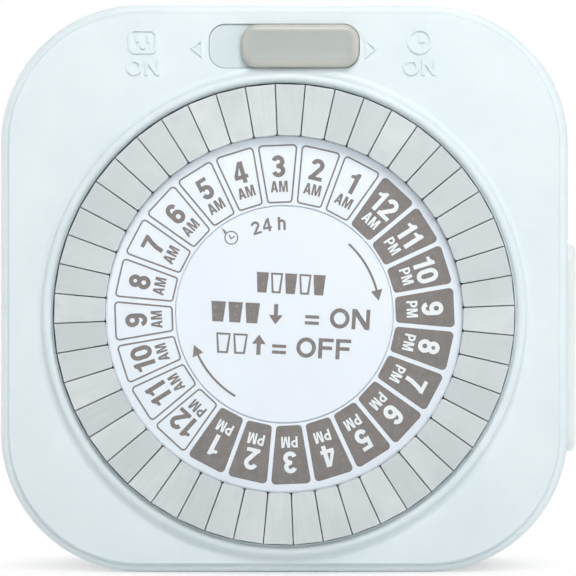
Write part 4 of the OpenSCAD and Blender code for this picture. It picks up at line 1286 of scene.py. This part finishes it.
@dataclass
class CaseScrew:
    """A cross-recessed screw in each counterbore of the rear shell."""

    at: Point
    number: int
    head_r: float = 1.95
    head_top: float = 3.4
    head_t: float = 1.5
    dome: float = 0.45
    arm: float = 1.05
    arm_w: float = 0.5
    recess: float = 0.9
    recess_foot: float = 0.62  # size of the recess's floor against its mouth
    shoulder: float = 0.6
    edge: float = 0.06
    turn: float = 20.0

    def cross(self, share: float) -> Outline:
        """Makes the outline of the recess.

        Args:
            share: Its size against the full recess.

        Returns:
            The outline about the screw's axis.
        """
        a, w = self.arm * share, self.arm_w / 2 * share
        quarter = [(w, w), (w, a), (-w, a)]
        out: Outline = []
        for k in range(4):
            out.extend(turned(quarter, 90 * k))
        return turned(out, self.turn)

    def build(self) -> None:
        """Makes one screw, whose head faces the wall."""
        profile = [(self.head_r, self.head_top + self.head_t), (self.head_r, self.head_top + self.dome)]
        for i in range(1, 5):
            a = math.radians(22.5 * i)
            profile.append((self.head_r - self.shoulder * (1 - math.cos(a)),
                            self.head_top + self.dome * (1 - math.sin(a))))
        work = bmesh.new()
        rings = [heights(work, circle(r, self.at, 40), h) for r, h in profile]
        stack(work, rings)
        work.faces.new(rings[0])
        mouth = heights(work, shifted(self.cross(1.0), self.at), self.head_top)
        floor = heights(work, shifted(self.cross(self.recess_foot), self.at), self.head_top + self.recess)
        stack(work, [mouth, floor])
        work.faces.new(floor)
        edge = rings[-1] + mouth
        flat = [[Vector((v.co.x, v.co.z, 0.0)) for v in loop] for loop in (rings[-1], mouth)]
        for face in tessellate_polygon(flat):
            work.faces.new([edge[i] for i in face])
        name = f"case_screw_{self.number}"
        soften(put_piece(name, work, ZINC_STEEL, "housing"), self.edge)


@dataclass
class CaseScrews:
    """The four screws that hold the two shells together."""

    offset: float = 25.5
    turns: tuple[float, ...] = (18.0, 47.0, 71.0, 5.0)

    def build(self) -> None:
        """Makes the four screws, each left at its own angle."""
        corners = [(x * self.offset, y * self.offset) for x in (-1, 1) for y in (-1, 1)]
        for number, (corner, turn) in enumerate(zip(corners, self.turns), 1):
            CaseScrew(at=corner, number=number, turn=turn).build()


# ---- Studio ----


@dataclass(frozen=True)
class Lamp:
    """One soft box."""

    name: str
    place: tuple[float, float, float]
    power: float
    size: float


@dataclass
class Studio:
    """Floor, soft light and the camera of the photograph."""

    aim: Vector = field(default_factory=lambda: Vector((0.000456, -0.038, -0.00396)))
    frame_width: float = 0.07099
    distance: float = 0.6
    floor_z: float = -0.03906
    floor_half: float = 4.0
    glow: float = 0.13
    lamps: tuple[Lamp, ...] = (
        Lamp("key", (0.035, -0.28, 0.20), 0.67, 0.2),
        Lamp("fill", (0.50, -0.60, 0.05), 0.2, 0.6),
        Lamp("top", (0.0, 0.05, 0.7), 0.7, 0.5),
        Lamp("side_right", (0.5, -0.08, 0.05), 0.4, 0.4),
        Lamp("side_left", (-0.5, -0.08, 0.05), 0.4, 0.4),
        Lamp("rear", (0.2, 0.6, 0.45), 3.0, 0.5),
        Lamp("rear_left", (-0.6, 0.35, 0.1), 1.2, 0.6),
    )

    def camera(self) -> None:
        """Sets the camera straight in front of the case, as in the photograph."""
        lens = bpy.data.cameras.new("camera")
        lens.sensor_width = 36.0
        lens.lens = 36.0 * self.distance / self.frame_width
        lens.clip_start, lens.clip_end = 0.01, 20.0
        eye = bpy.data.objects.new("camera", lens)
        eye.location = self.aim + Vector((0.0, -self.distance, 0.0))
        eye.rotation_euler = (math.radians(90), 0.0, 0.0)
        bpy.context.scene.collection.objects.link(eye)
        bpy.context.scene.camera = eye
        log.info("camera: %.0f mm lens at %.2f m", lens.lens, self.distance)

    def floor(self) -> None:
        """Lays the paper that the timer stands on."""
        mesh = bpy.data.meshes.new("floor")
        corners = box(-self.floor_half, -self.floor_half, self.floor_half, self.floor_half)[0]
        mesh.from_pydata([(x, y, 0) for x, y in corners], [], [(0, 1, 2, 3)])
        paper = bpy.data.objects.new("floor", mesh)
        paper.location = (0.0, -CASE_DEPTH / 2 * MM, self.floor_z)
        mesh.materials.append(FLOOR_PAPER.material())
        bpy.context.scene.collection.objects.link(paper)
        log.info("floor: laid at %.2f mm", self.floor_z * 1000)

    def light(self) -> None:
        """Hangs the soft boxes and sets the plain white surroundings."""
        for lamp in self.lamps:
            data = bpy.data.lights.new(lamp.name, "AREA")
            data.shape = "DISK"
            data.size = lamp.size
            data.energy = lamp.power
            hung = bpy.data.objects.new(lamp.name, data)
            hung.location = lamp.place
            hung.rotation_euler = (self.aim - Vector(lamp.place)).to_track_quat("-Z", "Y").to_euler()
            hung.visible_camera = False
            bpy.context.scene.collection.objects.link(hung)
            log.info("%s lamp: %.1f W", lamp.name, lamp.power)
        world = bpy.data.worlds.new("studio")
        world.use_nodes = True
        tree = world.node_tree
        tree.nodes.clear()
        glow = add_node(tree, "Background", {"Color": linear("#f7fbff"), "Strength": self.glow})
        white = add_node(tree, "Background", {"Color": (1.0, 1.0, 1.0, 1.0), "Strength": 1.0})
        both = add_node(tree, "MixShader", {0: seen_directly(tree), 1: glow, 2: white})
        add_node(tree, "OutputWorld", {"Surface": both})
        bpy.context.scene.world = world

    def build(self) -> None:
        """Sets up the whole studio."""
        bpy.context.scene.view_settings.view_transform = "Standard"
        self.camera()
        self.floor()
        self.light()


def main() -> None:
    """Builds the dressed timer in order."""
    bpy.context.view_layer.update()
    for assembly in (
            Studio(), CadFinishes(), HourPrint(), CentrePrint(), RaisedMarks(), CollarLip(), OverrideSlide(),
            DialFlange("hour_ring_flange", inner_r=21.6, outer_r=21.98, top=CASE_DEPTH + 0.28, body="dial"),
            DialFlange("centre_disc_flange", inner_r=13.1, outer_r=13.42, top=CASE_DEPTH + 0.1, body="housing"),
            CaseScrews(), LeverSpring()):
        assembly.build()


if __name__ == "__main__":
    logging.basicConfig(level=logging.INFO, format="%(message)s")
    main()
